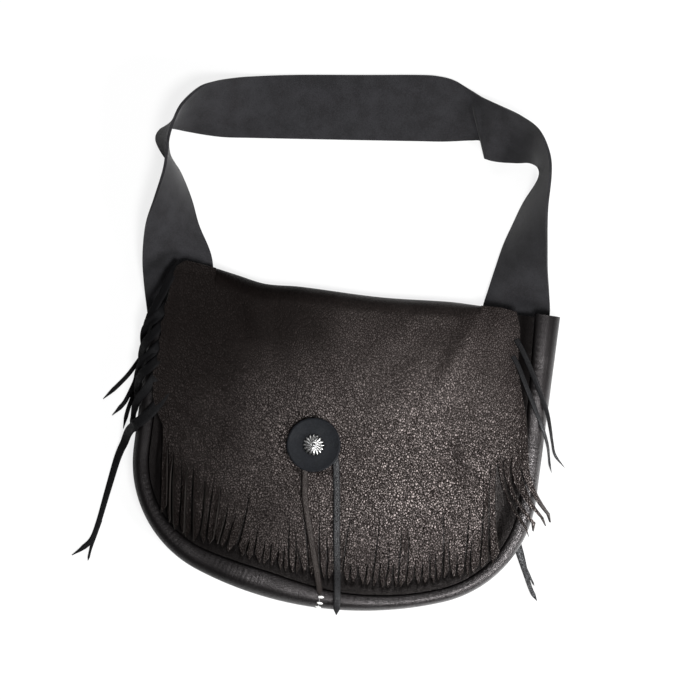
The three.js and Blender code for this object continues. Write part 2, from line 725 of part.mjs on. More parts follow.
const leather = new THREE.MeshStandardMaterial({ color: 0x2c2826, roughness: 0.55 });
const suede = new THREE.MeshStandardMaterial({ color: 0x2e2e31, roughness: 0.95 });
const horn = new THREE.MeshStandardMaterial({ color: 0x1d1f24, roughness: 0.7 });
const silver = new THREE.MeshStandardMaterial({ color: 0xd8d8d6, roughness: 0.2, metalness: 1 });

function meshOf(name, body, material) {
  const { numProp, vertProperties, triVerts, numVert } = body.simplify(FINENESS).getMesh();
  const position = new Float32Array(numVert * 3);
  for (let i = 0; i < numVert; i++)
    position.set(vertProperties.subarray(i * numProp, i * numProp + 3), i * 3);
  const geometry = new THREE.BufferGeometry();
  geometry.setAttribute("position", new THREE.BufferAttribute(position, 3));
  geometry.setIndex(new THREE.BufferAttribute(triVerts, 1));
  geometry.computeVertexNormals();
  const mesh = new THREE.Mesh(geometry, material);
  mesh.name = name;
  return mesh;
}

const bag = new THREE.Group();
bag.name = "fringe_bag";
bag.add(meshOf("back_panel_with_flap", hide(), leather));
bag.add(meshOf("front_panel", frontPanel(), leather));
bag.add(meshOf("gusset_left", gusset(-rimLengthTo(LEFT_GUSSET_TOP_Y), GUSSET_JOIN_X - GAP / 2), leather));
bag.add(meshOf("gusset_right", gusset(GUSSET_JOIN_X + GAP / 2, rimLengthTo(MOUTH_Y)), leather));
bag.add(meshOf("shoulder_strap", shoulderStrap(), suede));
bag.add(meshOf("button_disc", button(), horn));
bag.add(meshOf("concho", concho(), silver));
bag.add(meshOf("closure_lace", lace(), leather));

export default bag;
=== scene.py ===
"""A black leather fringe bag lying on its back on a white floor, seen from above."""

import json
import logging
import math
import random
from dataclasses import dataclass
from enum import Enum
from typing import Iterable, Sequence

import bmesh
import bpy
import numpy as np
from mathutils import Matrix, Vector
from mathutils.geometry import delaunay_2d_cdt

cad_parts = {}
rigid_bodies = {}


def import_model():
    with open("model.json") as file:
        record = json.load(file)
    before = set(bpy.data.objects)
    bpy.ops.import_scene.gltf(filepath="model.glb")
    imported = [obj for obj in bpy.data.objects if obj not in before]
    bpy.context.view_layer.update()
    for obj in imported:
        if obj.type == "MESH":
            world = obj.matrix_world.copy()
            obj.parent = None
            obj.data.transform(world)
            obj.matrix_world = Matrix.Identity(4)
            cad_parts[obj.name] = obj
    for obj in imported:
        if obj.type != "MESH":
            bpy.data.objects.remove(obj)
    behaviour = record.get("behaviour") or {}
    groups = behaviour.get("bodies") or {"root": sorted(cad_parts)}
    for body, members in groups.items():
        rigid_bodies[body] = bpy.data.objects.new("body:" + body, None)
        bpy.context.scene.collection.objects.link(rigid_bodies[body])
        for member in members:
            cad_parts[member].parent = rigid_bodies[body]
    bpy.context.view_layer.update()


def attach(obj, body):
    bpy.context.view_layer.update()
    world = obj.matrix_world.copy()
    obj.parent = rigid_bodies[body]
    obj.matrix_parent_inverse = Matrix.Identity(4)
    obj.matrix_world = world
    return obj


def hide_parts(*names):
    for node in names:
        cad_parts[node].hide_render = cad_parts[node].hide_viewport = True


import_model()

logging.basicConfig(level=logging.INFO, format="%(message)s")
LOG = logging.getLogger("fringe_bag")

MM = 0.001
Point2 = tuple[float, float]
Point3 = tuple[float, float, float]
MeshData = tuple[np.ndarray, list[list[int]]]
Piece = bpy.types.Object
Material = bpy.types.Material
Socket = bpy.types.NodeSocket


# Sizes shared by the pieces, in millimetres


@dataclass(frozen=True)
class Leather:
    """Thicknesses of the leathers and the clearance between pieces, in mm."""

    hide: float = 1.8
    strap: float = 2.6
    strand: float = 1.6
    lace: float = 1.6
    gap: float = 0.35


@dataclass(frozen=True)
class BagPlan:
    """The bag's outline seen from above, in mm."""

    half_width: float = 181.0
    mouth_y: float = 144.0
    left_top_y: float = 97.0
    corner_y: float = -20.0
    corner_radius: float = 108.0
    bottom_radius: float = 320.0

    @property
    def corner_x(self) -> float:
        """Where the centre of a corner's arc lies to the side."""
        return self.half_width - self.corner_radius

    @property
    def bottom_centre_y(self) -> float:
        """The height of the centre of the bottom's arc."""
        reach = self.bottom_radius - self.corner_radius
        return self.corner_y + math.sqrt(reach**2 - self.corner_x**2)

    @property
    def bottom_angle(self) -> float:
        """Half the angle of the bottom's arc."""
        return math.atan2(self.corner_x, self.bottom_centre_y - self.corner_y)

    @property
    def bottom_length(self) -> float:
        """Half the length of the bottom's arc."""
        return self.bottom_radius * self.bottom_angle

    @property
    def corner_length(self) -> float:
        """The length of one corner's arc."""
        return self.corner_radius * (math.pi / 2 - self.bottom_angle)

    def length_to(self, y: float) -> float:
        """The distance along the outline from the bottom's middle to a height on a side."""
        return self.bottom_length + self.corner_length + y - self.corner_y

    def rim(self, distance: float) -> tuple[float, float, float, float]:
        """A point of the outline and the direction in from it.

        Args:
            distance: How far along the outline, to the right of the bottom's middle.

        Returns:
            The point's x and y, and the inward direction's x and y.
        """
        side = 1.0 if distance >= 0 else -1.0
        length = abs(distance)
        x = self.half_width
        y = self.corner_y + length - self.bottom_length - self.corner_length
        angle = math.pi / 2
        if length < self.bottom_length:
            angle = length / self.bottom_radius
            x = self.bottom_radius * math.sin(angle)
            y = self.bottom_centre_y - self.bottom_radius * math.cos(angle)
        elif length < self.bottom_length + self.corner_length:
            angle = self.bottom_angle + (length - self.bottom_length) / self.corner_radius
            x = self.corner_x + self.corner_radius * math.sin(angle)
            y = self.corner_y - self.corner_radius * math.cos(angle)
        return side * x, y, -side * math.sin(angle), math.cos(angle)

    def inset(self, x: np.ndarray, y: np.ndarray) -> np.ndarray:
        """How far points lie in from the outline.

        Args:
            x: The points' x.
            y: The points' y.

        Returns:
            The distances, below zero outside the outline.
        """
        wide = np.abs(x)
        below = self.bottom_centre_y - y
        bottom = self.bottom_radius - np.hypot(x, below)
        corner = self.corner_radius - np.hypot(wide - self.corner_x, y - self.corner_y)
        in_bottom = wide < below * math.tan(self.bottom_angle)
        return np.where(y >= self.corner_y, self.half_width - wide, np.where(in_bottom, bottom, corner))

    def along_rim(self, x: np.ndarray, y: np.ndarray) -> np.ndarray:
        """How far along the outline the nearest point of it lies, to the right of the bottom's middle.

        Args:
            x: The points' x.
            y: The points' y.

        Returns:
            The distances along the outline.
        """
        wide = np.abs(x)
        below = self.bottom_centre_y - y
        bottom = self.bottom_radius * np.arctan2(wide, below)
        turn = np.arctan2(wide - self.corner_x, self.corner_y - y)
        corner = self.bottom_length + self.corner_radius * (turn - self.bottom_angle)
        straight = self.bottom_length + self.corner_length + y - self.corner_y
        in_bottom = wide < below * math.tan(self.bottom_angle)
        length = np.where(y >= self.corner_y, straight, np.where(in_bottom, bottom, corner))
        return np.sign(x) * length


class Profile:
    """A smooth curve through a few [place, value] points."""

    def __init__(self, points: Sequence[Point2]) -> None:
        """Fills in the curve between the points.

        Args:
            points: The places and values, in order of place.
        """
        places = [p[0] for p in points]
        values = [p[1] for p in points]
        slopes = []
        for k in range(len(points)):
            a, b = max(k - 1, 0), min(k + 1, len(points) - 1)
            slopes.append((values[b] - values[a]) / (places[b] - places[a]))
        fine_x, fine_y = [], []
        for k in range(len(points) - 1):
            span = places[k + 1] - places[k]
            for t in np.linspace(0, 1, 12, endpoint=False):
                fine_x.append(places[k] + span * t)
                fine_y.append(
                    values[k] * (1 + 2 * t) * (1 - t) ** 2
                    + slopes[k] * span * t * (1 - t) ** 2
                    + values[k + 1] * t * t * (3 - 2 * t)
                    - slopes[k + 1] * span * t * t * (1 - t)
                )
        self.x = np.array(fine_x + [places[-1]])
        self.y = np.array(fine_y + [values[-1]])

    def __call__(self, place: np.ndarray | float) -> np.ndarray:
        """The curve's value at one or more places."""
        return np.interp(place, self.x, self.y)


def ease(value: np.ndarray | float, low: float, high: float) -> np.ndarray:
    """Goes smoothly from 0 at low to 1 at high."""
    t = np.clip((np.asarray(value, float) - low) / (high - low), 0, 1)
    return t * t * (3 - 2 * t)


def hill(x: np.ndarray, y: np.ndarray, at: Point2, wide: float, long: float, turn: float = 0.0) -> np.ndarray:
    """A soft round or drawn-out hill of height 1.

    Args:
        x: The points' x.
        y: The points' y.
        at: The hill's middle.
        wide: Its reach across.
        long: Its reach along.
        turn: How far it is turned, in degrees.

    Returns:
        Its height at the points.
    """
    c, s = math.cos(math.radians(turn)), math.sin(math.radians(turn))
    u = (x - at[0]) * c + (y - at[1]) * s
    v = (y - at[1]) * c - (x - at[0]) * s
    return np.exp(-((u / wide) ** 2) - (v / long) ** 2)


class BagSurface:
    """The heights of the lying bag: its front panel, and the flap that lies on it."""

    UNDER_FLAP = [
        (-20, 12), (-10, 27), (-2, 35.4), (4, 38), (10, 38.2), (16, 37), (24, 34), (36, 31.6),
        (52, 29.6), (80, 27.2), (120, 26), (181, 25.6),
    ]  # fmt: skip
    EDGE_CURL = [(0, 2.9), (2, 2.1), (6, 3.0), (14, 5.4), (30, 5.0), (50, 2.2), (75, 0), (160, 0)]
    SEAM = [
        (-365, 15), (-245, 15), (-180, 16), (-120, 19.5), (-85, 22), (-50, 23), (-18, 20.5), (15, 17),
        (53, 14.5), (99, 13), (180, 13.5), (245, 15.5), (330, 19), (410, 23),
    ]  # fmt: skip

    WAVES = [(0.55, 21, 0.6), (0.35, 13.5, 1.3)]
    FOLDS = [
        (0.7, (-92, 118), 11, 38, 22), (-0.5, (-74, 112), 10, 32, 18), (0.7, (30, 100), 14, 50, -38),
        (-0.5, (46, 90), 13, 44, -36), (1.0, (92, 96), 8, 40, -20), (1.4, (-40, 60), 26, 40, 10),
        (-1.6, (-22, 3), 34, 34, 0), (1.5, (60, -20), 48, 34, 0), (-1.3, (103, 3), 6, 20, 45),
        (0.9, (113, 11), 7, 18, 45),
    ]  # fmt: skip

    def __init__(self, plan: BagPlan, leather: Leather) -> None:
        """Keeps the plan and makes the profiles.

        Args:
            plan: The bag's outline.
            leather: The leather's thicknesses.
        """
        self.plan = plan
        self.leather = leather
        self.under_profile = Profile(self.UNDER_FLAP)
        self.curl_profile = Profile(self.EDGE_CURL)
        self.seam_profile = Profile(self.SEAM)

    def slack(self, x: np.ndarray, y: np.ndarray) -> np.ndarray:
        """The soft waves and folds that the hide has taken.

        Args:
            x: The points' x.
            y: The points' y.

        Returns:
            How much higher they make each point.
        """
        (high, long, bend), (low, short, turn) = self.WAVES
        slack = high * np.sin(x / long + bend * np.sin(y / 33)) * np.sin(y / 27 + 0.8)
        slack = slack + low * np.sin((x + 0.7 * y) / short + turn) * np.sin((y - 0.4 * x) / 19)
        folds = 0.0
        for height, at, wide, reach, angle in self.FOLDS:
            folds = folds + height * hill(x, y, at, wide, reach, angle)
        return ease(self.plan.inset(x, y), 16, 60) * (slack + folds)

    def under_flap(self, x: np.ndarray, y: np.ndarray) -> np.ndarray:
        """The height of the flap's underside."""
        return self.under_profile(self.plan.inset(x, y)) + self.slack(x, y)

    def seam_at(self, distance: np.ndarray | float) -> np.ndarray:
        """How far in from the outline the front seam lies, at a distance along the outline."""
        return self.seam_profile(distance)

    def front_top(self, x: np.ndarray, y: np.ndarray) -> np.ndarray:
        """The height of the front panel's upper face."""
        depth = self.plan.inset(x, y) - self.seam_at(self.plan.along_rim(x, y))
        return self.under_flap(x, y) - self.leather.gap - self.curl_profile(depth)


# Finishes


class Grain(Enum):
    """The kinds of leather face."""

    PEBBLED = "pebbled"
    FINE = "fine"
    SUEDE = "suede"
    PRESSED = "pressed"


@dataclass(frozen=True)
class LeatherFinish:
    """How one leather looks."""

    name: str
    grain: Grain
    dark: Point3
    light: Point3
    rough_low: float
    rough_high: float
    cell_mm: float
    relief_mm: float
    specular: float = 0.5
    sheen: float = 0.0
    tint: Point3 = (1.0, 0.93, 0.88)


BODY = LeatherFinish(
    "body_leather", Grain.PEBBLED, dark=(0.0012, 0.0008, 0.0007), light=(0.0068, 0.0043, 0.0038),
    rough_low=0.27, rough_high=0.43, cell_mm=1.7, relief_mm=0.5, specular=0.72, tint=(1.0, 0.87, 0.83),
)  # fmt: skip
GUSSET = LeatherFinish(
    "gusset_leather", Grain.FINE, dark=(0.0032, 0.0028, 0.0029), light=(0.0095, 0.0083, 0.0084),
    rough_low=0.26, rough_high=0.4, cell_mm=1.1, relief_mm=0.13, specular=0.66, tint=(1.0, 0.94, 0.95),
)  # fmt: skip
# Darker and less shiny than the gusset leather, as painted shade where the panel lies under the flap and fringe.
PANEL = LeatherFinish(
    "front_leather", Grain.FINE, dark=(0.0018, 0.0015, 0.0015), light=(0.0056, 0.0046, 0.0045),
    rough_low=0.3, rough_high=0.45, cell_mm=1.2, relief_mm=0.14, specular=0.34, tint=(1.0, 0.92, 0.9),
)  # fmt: skip
STRAP = LeatherFinish(
    "strap_suede", Grain.SUEDE, dark=(0.0100, 0.0100, 0.0114), light=(0.0215, 0.0215, 0.0240),
    rough_low=0.85, rough_high=0.98, cell_mm=0.9, relief_mm=0.2, specular=0.15, sheen=0.1,
)  # fmt: skip
DISC = LeatherFinish(
    "button_leather", Grain.PRESSED, dark=(0.0028, 0.0031, 0.0040), light=(0.0070, 0.0076, 0.0096),
    rough_low=0.5, rough_high=0.72, cell_mm=1.6, relief_mm=0.08, specular=0.12, tint=(0.92, 0.96, 1.0),
)  # fmt: skip
LACE = LeatherFinish(
    "lace_leather", Grain.FINE, dark=(0.0050, 0.0038, 0.0034), light=(0.0125, 0.0098, 0.0088),
    rough_low=0.36, rough_high=0.55, cell_mm=1.1, relief_mm=0.16, specular=0.6, tint=(1.0, 0.9, 0.86),
)  # fmt: skip
STRAND = LeatherFinish(
    "strand_leather", Grain.FINE, dark=(0.0035, 0.0034, 0.0037), light=(0.0100, 0.0096, 0.0102),
    rough_low=0.36, rough_high=0.55, cell_mm=1.3, relief_mm=0.16, specular=0.5, tint=(0.95, 0.97, 1.0),
)  # fmt: skip
CUT_EDGE = LeatherFinish(
    "cut_edge", Grain.SUEDE, dark=(0.006, 0.0052, 0.005), light=(0.014, 0.012, 0.011),
    rough_low=0.8, rough_high=0.95, cell_mm=0.8, relief_mm=0.08, specular=0.25,
)  # fmt: skip


@dataclass(frozen=True)
class SilverFinish:
    """How one silver looks."""

    name: str
    dark: Point3
    light: Point3


GROUND_SILVER = SilverFinish("darkened_silver", dark=(0.05, 0.05, 0.052), light=(0.13, 0.13, 0.13))
FLUTE_SILVER = SilverFinish("concho_silver", dark=(0.34, 0.34, 0.34), light=(0.56, 0.56, 0.55))


@dataclass(frozen=True)
class LightPool:
    """Where a pool of light is painted into the grained leathers' colour and shine, and where their grain lies flat and
    their shine is painted dimmer, in metres.
    """

    middle: Point3 = (0.115, -0.022, 0.03)
    near: float = 0.03
    far: float = 0.27
    wander: float = 0.045
    # From these heights up the grain flattens and the shine is painted dimmer, as painted shade toward the bag's top.
    flat_and_dim_from_y: float = 0.015
    flat_and_dim_at_y: float = 0.09
    flat: float = 0.45


class NodeSheet:
    """A short way to lay out the shader nodes of a material or of the surroundings."""

    def __init__(self, owner: Material | bpy.types.World) -> None:
        """Starts with no nodes.

        Args:
            owner: What the nodes belong to.
        """
        self.owner = owner
        self.owner.use_nodes = True
        self.tree = owner.node_tree
        self.tree.nodes.clear()

    def add(self, kind: str, **settings: object) -> bpy.types.Node:
        """Adds a node.

        Args:
            kind: The node's type.
            settings: Properties of the node, or values and sockets for its inputs, by name with _ for a space.

        Returns:
            The node.
        """
        node = self.tree.nodes.new(kind)
        for key, value in settings.items():
            if hasattr(node, key):
                setattr(node, key, value)
            elif isinstance(value, Socket):
                self.link(value, node.inputs[key.replace("_", " ")])
            else:
                node.inputs[key.replace("_", " ")].default_value = value
        return node

    def place(self) -> Socket:
        """The point's place in the frame."""
        return self.add("ShaderNodeTexCoord").outputs["Object"]

    def link(self, source: Socket, target: Socket) -> None:
        """Joins two sockets."""
        self.tree.links.new(source, target)

    def math(self, operation: str, first: object, second: object = 0.5) -> Socket:
        """Adds a math node.

        Args:
            operation: Its operation.
            first: A socket or a number.
            second: A socket or a number.

        Returns:
            Its output.
        """
        node = self.add("ShaderNodeMath", operation=operation)
        for slot, value in enumerate((first, second)):
            if isinstance(value, Socket):
                self.link(value, node.inputs[slot])
            else:
                node.inputs[slot].default_value = value
        return node.outputs[0]

    def vector(self, operation: str, first: object, second: object, third: object = None) -> bpy.types.Node:
        """Adds a vector math node.

        Args:
            operation: Its operation.
            first: A socket.
            second: A vector.
            third: A socket, for an operation with three inputs.

        Returns:
            The node.
        """
        node = self.add("ShaderNodeVectorMath", operation=operation)
        self.link(first, node.inputs[0])
        node.inputs[1].default_value = second
        if third is not None:
            self.link(third, node.inputs[2])
        return node

    def weigh(self, *layers: tuple[Socket, float]) -> Socket:
        """Adds up layers.

        Args:
            layers: Each layer and its share.

        Returns:
            The sum.
        """
        total = None
        for value, share in layers:
            part = self.math("MULTIPLY", value, share)
            total = part if total is None else self.math("ADD", total, part)
        return total

    def spread(
        self, value: Socket, low: float, high: float, to_low: float, to_high: float,
        kind: str = "LINEAR",
    ) -> Socket:  # fmt: skip
        """Maps a value from one range to another, held inside it.

        Args:
            value: The socket to map.
            low: The range's lower end.
            high: The range's upper end.
            to_low: What the lower end becomes.
            to_high: What the upper end becomes.
            kind: LINEAR, or SMOOTHSTEP for soft ends.

        Returns:
            The mapped output.
        """
        node = self.add(
            "ShaderNodeMapRange", interpolation_type=kind, Value=value, From_Min=low, From_Max=high,
            To_Min=to_low, To_Max=to_high,
        )  # fmt: skip
        return node.outputs["Result"]

    def mix(self, fac: Socket, first: object, second: object) -> Socket:
        """Mixes two colours.

        Args:
            fac: How much of the second there is.
            first: A colour or a socket.
            second: A colour or a socket.

        Returns:
            The mixed colour.
        """
        node = self.add("ShaderNodeMix", data_type="RGBA")
        self.link(fac, node.inputs["Factor"])
        for name, value in (("A", first), ("B", second)):
            socket = [s for s in node.inputs if s.name == name and s.type == "RGBA"][0]
            if isinstance(value, Socket):
                self.link(value, socket)
            else:
                socket.default_value = (*value, 1)
        return [s for s in node.outputs if s.type == "RGBA"][0]

    def noise(self, place: Socket, size_mm: float, detail: float = 3, rough: float = 0.5) -> Socket:
        """Adds a noise whose features are about a size.

        Args:
            place: The coordinates.
            size_mm: The size of a feature.
            detail: How many finer layers it has.
            rough: How strong those are.

        Returns:
            Its value.
        """
        node = self.add("ShaderNodeTexNoise", Vector=place, Scale=1000 / size_mm, Detail=detail, Roughness=rough)
        return node.outputs["Fac"]

    def cells(self, place: Socket, size_mm: float, feature: str) -> Socket:
        """Adds a cell pattern.

        Args:
            place: The coordinates.
            size_mm: The size of a cell.
            feature: What of the cells it gives.

        Returns:
            The distance.
        """
        return self.add("ShaderNodeTexVoronoi", feature=feature, Vector=place, Scale=1000 / size_mm).outputs["Distance"]

    def bump(self, height: Socket, distance_mm: float, under: Socket | None = None) -> Socket:
        """Adds a bump.

        Args:
            height: The height, from 0 to 1.
            distance_mm: How high 1 is.
            under: The normal it is laid on.

        Returns:
            The bumped normal.
        """
        laid_on = {} if under is None else {"Normal": under}
        return self.add("ShaderNodeBump", Strength=1.0, Distance=distance_mm * MM, Height=height, **laid_on).outputs[0]

    def end(self, shader: Socket, kind: str = "Material") -> Material | bpy.types.World:
        """Gives the shader to the surface.

        Args:
            shader: The shader.
            kind: Material, or World for the surroundings.

        Returns:
            What the nodes belong to.
        """
        self.add(f"ShaderNodeOutput{kind}", Surface=shader)
        return self.owner


@dataclass(frozen=True)
class Layers:
    """What a leather's grain or nap gives to its shader."""

    tone: Socket
    rough: Socket
    normal: Socket
    shine: Socket | None = None


def grain_layers(sheet: NodeSheet, finish: LeatherFinish, light_pool: LightPool) -> Layers:
    """Lays out pebbled or fine grain, with a pool of light painted into its colour and shine around one place and
    painted shade in its creases.

    Args:
        sheet: The material's nodes.
        finish: How the leather looks.
        light_pool: Where the pool of light is painted, and where the grain is flatter and its shine painted dimmer.

    Returns:
        The layers.
    """
    place, cell = sheet.place(), finish.cell_mm
    wobble = sheet.add("ShaderNodeTexNoise", Vector=place, Scale=1000 / (cell * 3.2), Detail=2)
    drawn = sheet.vector("MULTIPLY", place, (1.0, 0.76, 1.0)).outputs["Vector"]
    bent = sheet.vector("MULTIPLY_ADD", wobble.outputs["Color"], (cell * 1.5 * MM,) * 3, drawn).outputs["Vector"]

    # A pool of light is painted round one middle, its edge wobbled by noise: the colour and shine are painted lighter
    # there and darker away from it, as painted light and shade.
    from_pool_middle = sheet.vector("DISTANCE", place, light_pool.middle).outputs["Value"]
    patch = sheet.spread(sheet.noise(place, 38, 3, 0.55), 0, 1, -light_pool.wander, light_pool.wander)
    painted_pool = sheet.spread(sheet.math("ADD", patch, from_pool_middle), light_pool.near, light_pool.far, 1.0, 0.0, "SMOOTHSTEP")
    # Toward the bag's top the grain is flattened and the shine painted dimmer, as painted shade.
    up_the_bag = sheet.add("ShaderNodeSeparateXYZ", Vector=place).outputs["Y"]
    top_fade = sheet.spread(up_the_bag, light_pool.flat_and_dim_from_y, light_pool.flat_and_dim_at_y, 1.0, light_pool.flat)
    strong = sheet.math("MULTIPLY", sheet.spread(painted_pool, 0, 1, 0.8, 1.1), top_fade)

    creases = sheet.spread(sheet.cells(bent, cell, "DISTANCE_TO_EDGE"), 0.0, 0.17, 0, 1)
    domes = sheet.spread(sheet.cells(bent, cell, "F1"), 0.0, 0.8, 1, 0)
    small = sheet.spread(sheet.cells(bent, cell * 0.55, "F1"), 0.0, 0.8, 1, 0)
    lumps = sheet.noise(place, cell * 2.4, 2, 0.5)
    lines = sheet.spread(sheet.cells(bent, cell * 4.5, "DISTANCE_TO_EDGE"), 0.0, 0.07, 0, 1)
    fine = sheet.noise(place, 0.7, 3, 0.65)
    height = sheet.weigh((domes, 0.3), (creases, 0.5), (small, 0.1), (lumps, 0.3), (lines, 0.4))
    normal = sheet.bump(sheet.math("MULTIPLY", height, strong), finish.relief_mm, sheet.bump(fine, 0.012))

    worn = sheet.spread(sheet.math("ADD", sheet.math("MULTIPLY", creases, 0.5), fine), 0.55, 1.2, 0, 1)
    rough = sheet.spread(worn, 0, 1, finish.rough_high, finish.rough_low)
    rough = sheet.math("ADD", rough, sheet.spread(painted_pool, 0, 1, 0.12, 0.0))
    # Painted shade in the creases: their shine is cut, as if shaded.
    crease_shade = sheet.math("MULTIPLY", sheet.spread(creases, 0, 0.85, 0.85, 0), strong)
    # The shine is painted brighter in the pool of light, as a painted highlight.
    shine = sheet.math("MULTIPLY", sheet.spread(painted_pool, 0, 1, 0.14, 1.25), finish.specular)
    for share in (top_fade, sheet.spread(crease_shade, 0, 1, 1, 0)):
        shine = sheet.math("MULTIPLY", shine, share)
    # The base colour is darker in the creases, and painted lighter in the pool of light and darker away from it.
    tone = sheet.math("MULTIPLY", creases, sheet.spread(painted_pool, 0, 1, 0.1, 1.0))
    return Layers(tone, rough, normal, shine)


def nap_layers(sheet: NodeSheet, finish: LeatherFinish) -> Layers:
    """Lays out suede or pressed leather: fibres, blotches and pale specks.

    Args:
        sheet: The material's nodes.
        finish: How the leather looks.

    Returns:
        The layers.
    """
    place = sheet.place()
    fibres = sheet.noise(place, finish.cell_mm, 4, 0.7)
    blotch = sheet.noise(place, 14, 4, 0.6)
    specks = sheet.spread(sheet.noise(place, 1.6, 2, 0.8), 0.6, 0.72, 0, 0.5)
    tone = sheet.spread(sheet.weigh((fibres, 0.55), (blotch, 0.45)), 0.4, 0.6, 0, 1)
    normal = sheet.bump(fibres, finish.relief_mm)
    if finish.grain is Grain.PRESSED:
        normal = sheet.bump(sheet.noise(place, finish.cell_mm, 3, 0.6), finish.relief_mm, normal)
    rough = sheet.spread(blotch, 0.3, 0.7, finish.rough_low, finish.rough_high)
    return Layers(sheet.math("ADD", tone, specks), rough, normal)


def leather_material(finish: LeatherFinish) -> Material:
    """Makes a leather's material.

    Args:
        finish: How it looks.

    Returns:
        The material.
    """
    sheet = NodeSheet(bpy.data.materials.new(finish.name))
    grained = finish.grain in (Grain.PEBBLED, Grain.FINE)
    # Grained leathers get the painted pool of light and the painted shade in their creases.
    layers = grain_layers(sheet, finish, LightPool()) if grained else nap_layers(sheet, finish)
    principled = sheet.add(
        "ShaderNodeBsdfPrincipled", Base_Color=sheet.mix(layers.tone, finish.dark, finish.light),
        Roughness=layers.rough, Normal=layers.normal, Specular_IOR_Level=layers.shine or finish.specular,
        Specular_Tint=(*finish.tint, 1), Sheen_Weight=finish.sheen, Sheen_Roughness=0.5,
    )  # fmt: skip
    return sheet.end(principled.outputs["BSDF"])


def silver_material(finish: SilverFinish) -> Material:
    """Makes the concho's scuffed silver.

    Args:
        finish: How it looks.

    Returns:
        The material.
    """
    sheet = NodeSheet(bpy.data.materials.new(finish.name))
    scuffs = sheet.noise(sheet.place(), 0.9, 4, 0.6)
    principled = sheet.add(
        "ShaderNodeBsdfPrincipled", Metallic=1.0, Roughness=sheet.spread(scuffs, 0.3, 0.7, 0.2, 0.34),
        Base_Color=sheet.mix(scuffs, finish.dark, finish.light), Normal=sheet.bump(scuffs, 0.006),
    )  # fmt: skip
    return sheet.end(principled.outputs["BSDF"])


def thread_material() -> Material:
    """Makes the stitches' white waxed thread.

    Returns:
        The material.
    """
    sheet = NodeSheet(bpy.data.materials.new("white_thread"))
    twist = sheet.add("ShaderNodeTexWave", Vector=sheet.place(), Scale=900.0, bands_direction="DIAGONAL")
    principled = sheet.add(
        "ShaderNodeBsdfPrincipled", Roughness=0.6, Base_Color=(0.86, 0.86, 0.84, 1),
        Normal=sheet.bump(twist.outputs["Fac"], 0.15),
    )  # fmt: skip
    return sheet.end(principled.outputs["BSDF"])


# Mesh building


def make_object(
    name: str, points: np.ndarray, faces: Iterable[Sequence[int]], materials: Sequence[Material]
) -> Piece:
    """Makes a mesh object from points in millimetres.

    Args:
        name: The object's name.
        points: The points.
        faces: The faces, as rows of point numbers.
        materials: The object's materials.

    Returns:
        The object, in the scene.
    """
    mesh = bpy.data.meshes.new(name)
    mesh.from_pydata((np.asarray(points) * MM).tolist(), [], [list(f) for f in faces])
    obj = bpy.data.objects.new(name, mesh)
    bpy.context.scene.collection.objects.link(obj)
    for material in materials:
        obj.data.materials.append(material)
    return obj


def only(obj: Piece) -> None:
    """Selects one object alone and makes it active.

    Args:
        obj: The object.
    """
    bpy.ops.object.select_all(action="DESELECT")
    obj.select_set(True)
    bpy.context.view_layer.objects.active = obj


def apply_modifier(obj: Piece, kind: str, **settings: object) -> None:
    """Adds a modifier and applies it.

    Args:
        obj: The object.
        kind: The modifier's type.
        settings: The modifier's properties.
    """
    only(obj)
    modifier = obj.modifiers.new(kind.title(), kind)
    for key, value in settings.items():
        setattr(modifier, key, value)
    bpy.ops.object.modifier_apply(modifier=modifier.name)


def thicken(obj: Piece, thick: float, rim: int = 1) -> None:
    """Gives a sheet its thickness, half to each side.

    Args:
        obj: The sheet.
        thick: Its thickness, in mm.
        rim: How many materials further on its cut edge's material is.
    """
    apply_modifier(
        obj, "SOLIDIFY", thickness=thick * MM, offset=0.0, use_even_offset=False, material_offset_rim=rim
    )


def stretched_ball(radius: float, stretch: Point3) -> Piece:
    """Makes a ball round the frame's origin and stretches it.

    Args:
        radius: Its radius, in mm.
        stretch: How much longer it gets along X, Y and Z.

    Returns:
        The object.
    """
    bpy.ops.object.select_all(action="DESELECT")
    bpy.ops.mesh.primitive_uv_sphere_add(segments=24, ring_count=16, radius=radius * MM, location=(0, 0, 0))
    ball = bpy.context.object
    only(ball)
    bpy.ops.object.mode_set(mode="EDIT")
    bpy.ops.mesh.select_all(action="SELECT")
    bpy.ops.transform.resize(value=stretch, center_override=(0, 0, 0))
    bpy.ops.object.mode_set(mode="OBJECT")
    return ball


def copies(model: Piece, places: Sequence[Matrix]) -> list[Piece]:
    """Copies a modelled piece to its places, each copy with its own mesh.

    Args:
        model: The piece.
        places: Where each copy goes.

    Returns:
        The copies.
    """
    made = []
    for place in places:
        copy = model.copy()
        copy.data = model.data.copy()
        copy.data.transform(place)
        bpy.context.scene.collection.objects.link(copy)
        made.append(copy)
    return made


def smooth(obj: Piece, degrees: float = 40) -> None:
    """Shades an object smooth except at edges sharper than an angle."""
    only(obj)
    bpy.ops.object.shade_smooth_by_angle(angle=math.radians(degrees))


def tidy(obj: Piece, merge_mm: float = 0.005) -> None:
    """Joins points that meet and turns all faces outwards.

    Args:
        obj: The object.
        merge_mm: How near points are joined, in mm.
    """
    only(obj)
    bpy.ops.object.mode_set(mode="EDIT")
    bpy.ops.mesh.select_all(action="SELECT")
    bpy.ops.mesh.remove_doubles(threshold=merge_mm * MM)
    bpy.ops.mesh.normals_make_consistent(inside=False)
    bpy.ops.object.mode_set(mode="OBJECT")


def densify(outline: Sequence[Point2], step: float) -> np.ndarray:
    """Adds points along an outline's sides.

    Args:
        outline: The corners, in order round it.
        step: The longest distance between points.

    Returns:
        The points.
    """
    points = []
    for a, b in zip(outline, [*outline[1:], outline[0]]):
        count = max(1, math.ceil(math.dist(a, b) / step))
        for k in range(count):
            t = k / count
            points.append((a[0] + (b[0] - a[0]) * t, a[1] + (b[1] - a[1]) * t))
    return np.array(points)


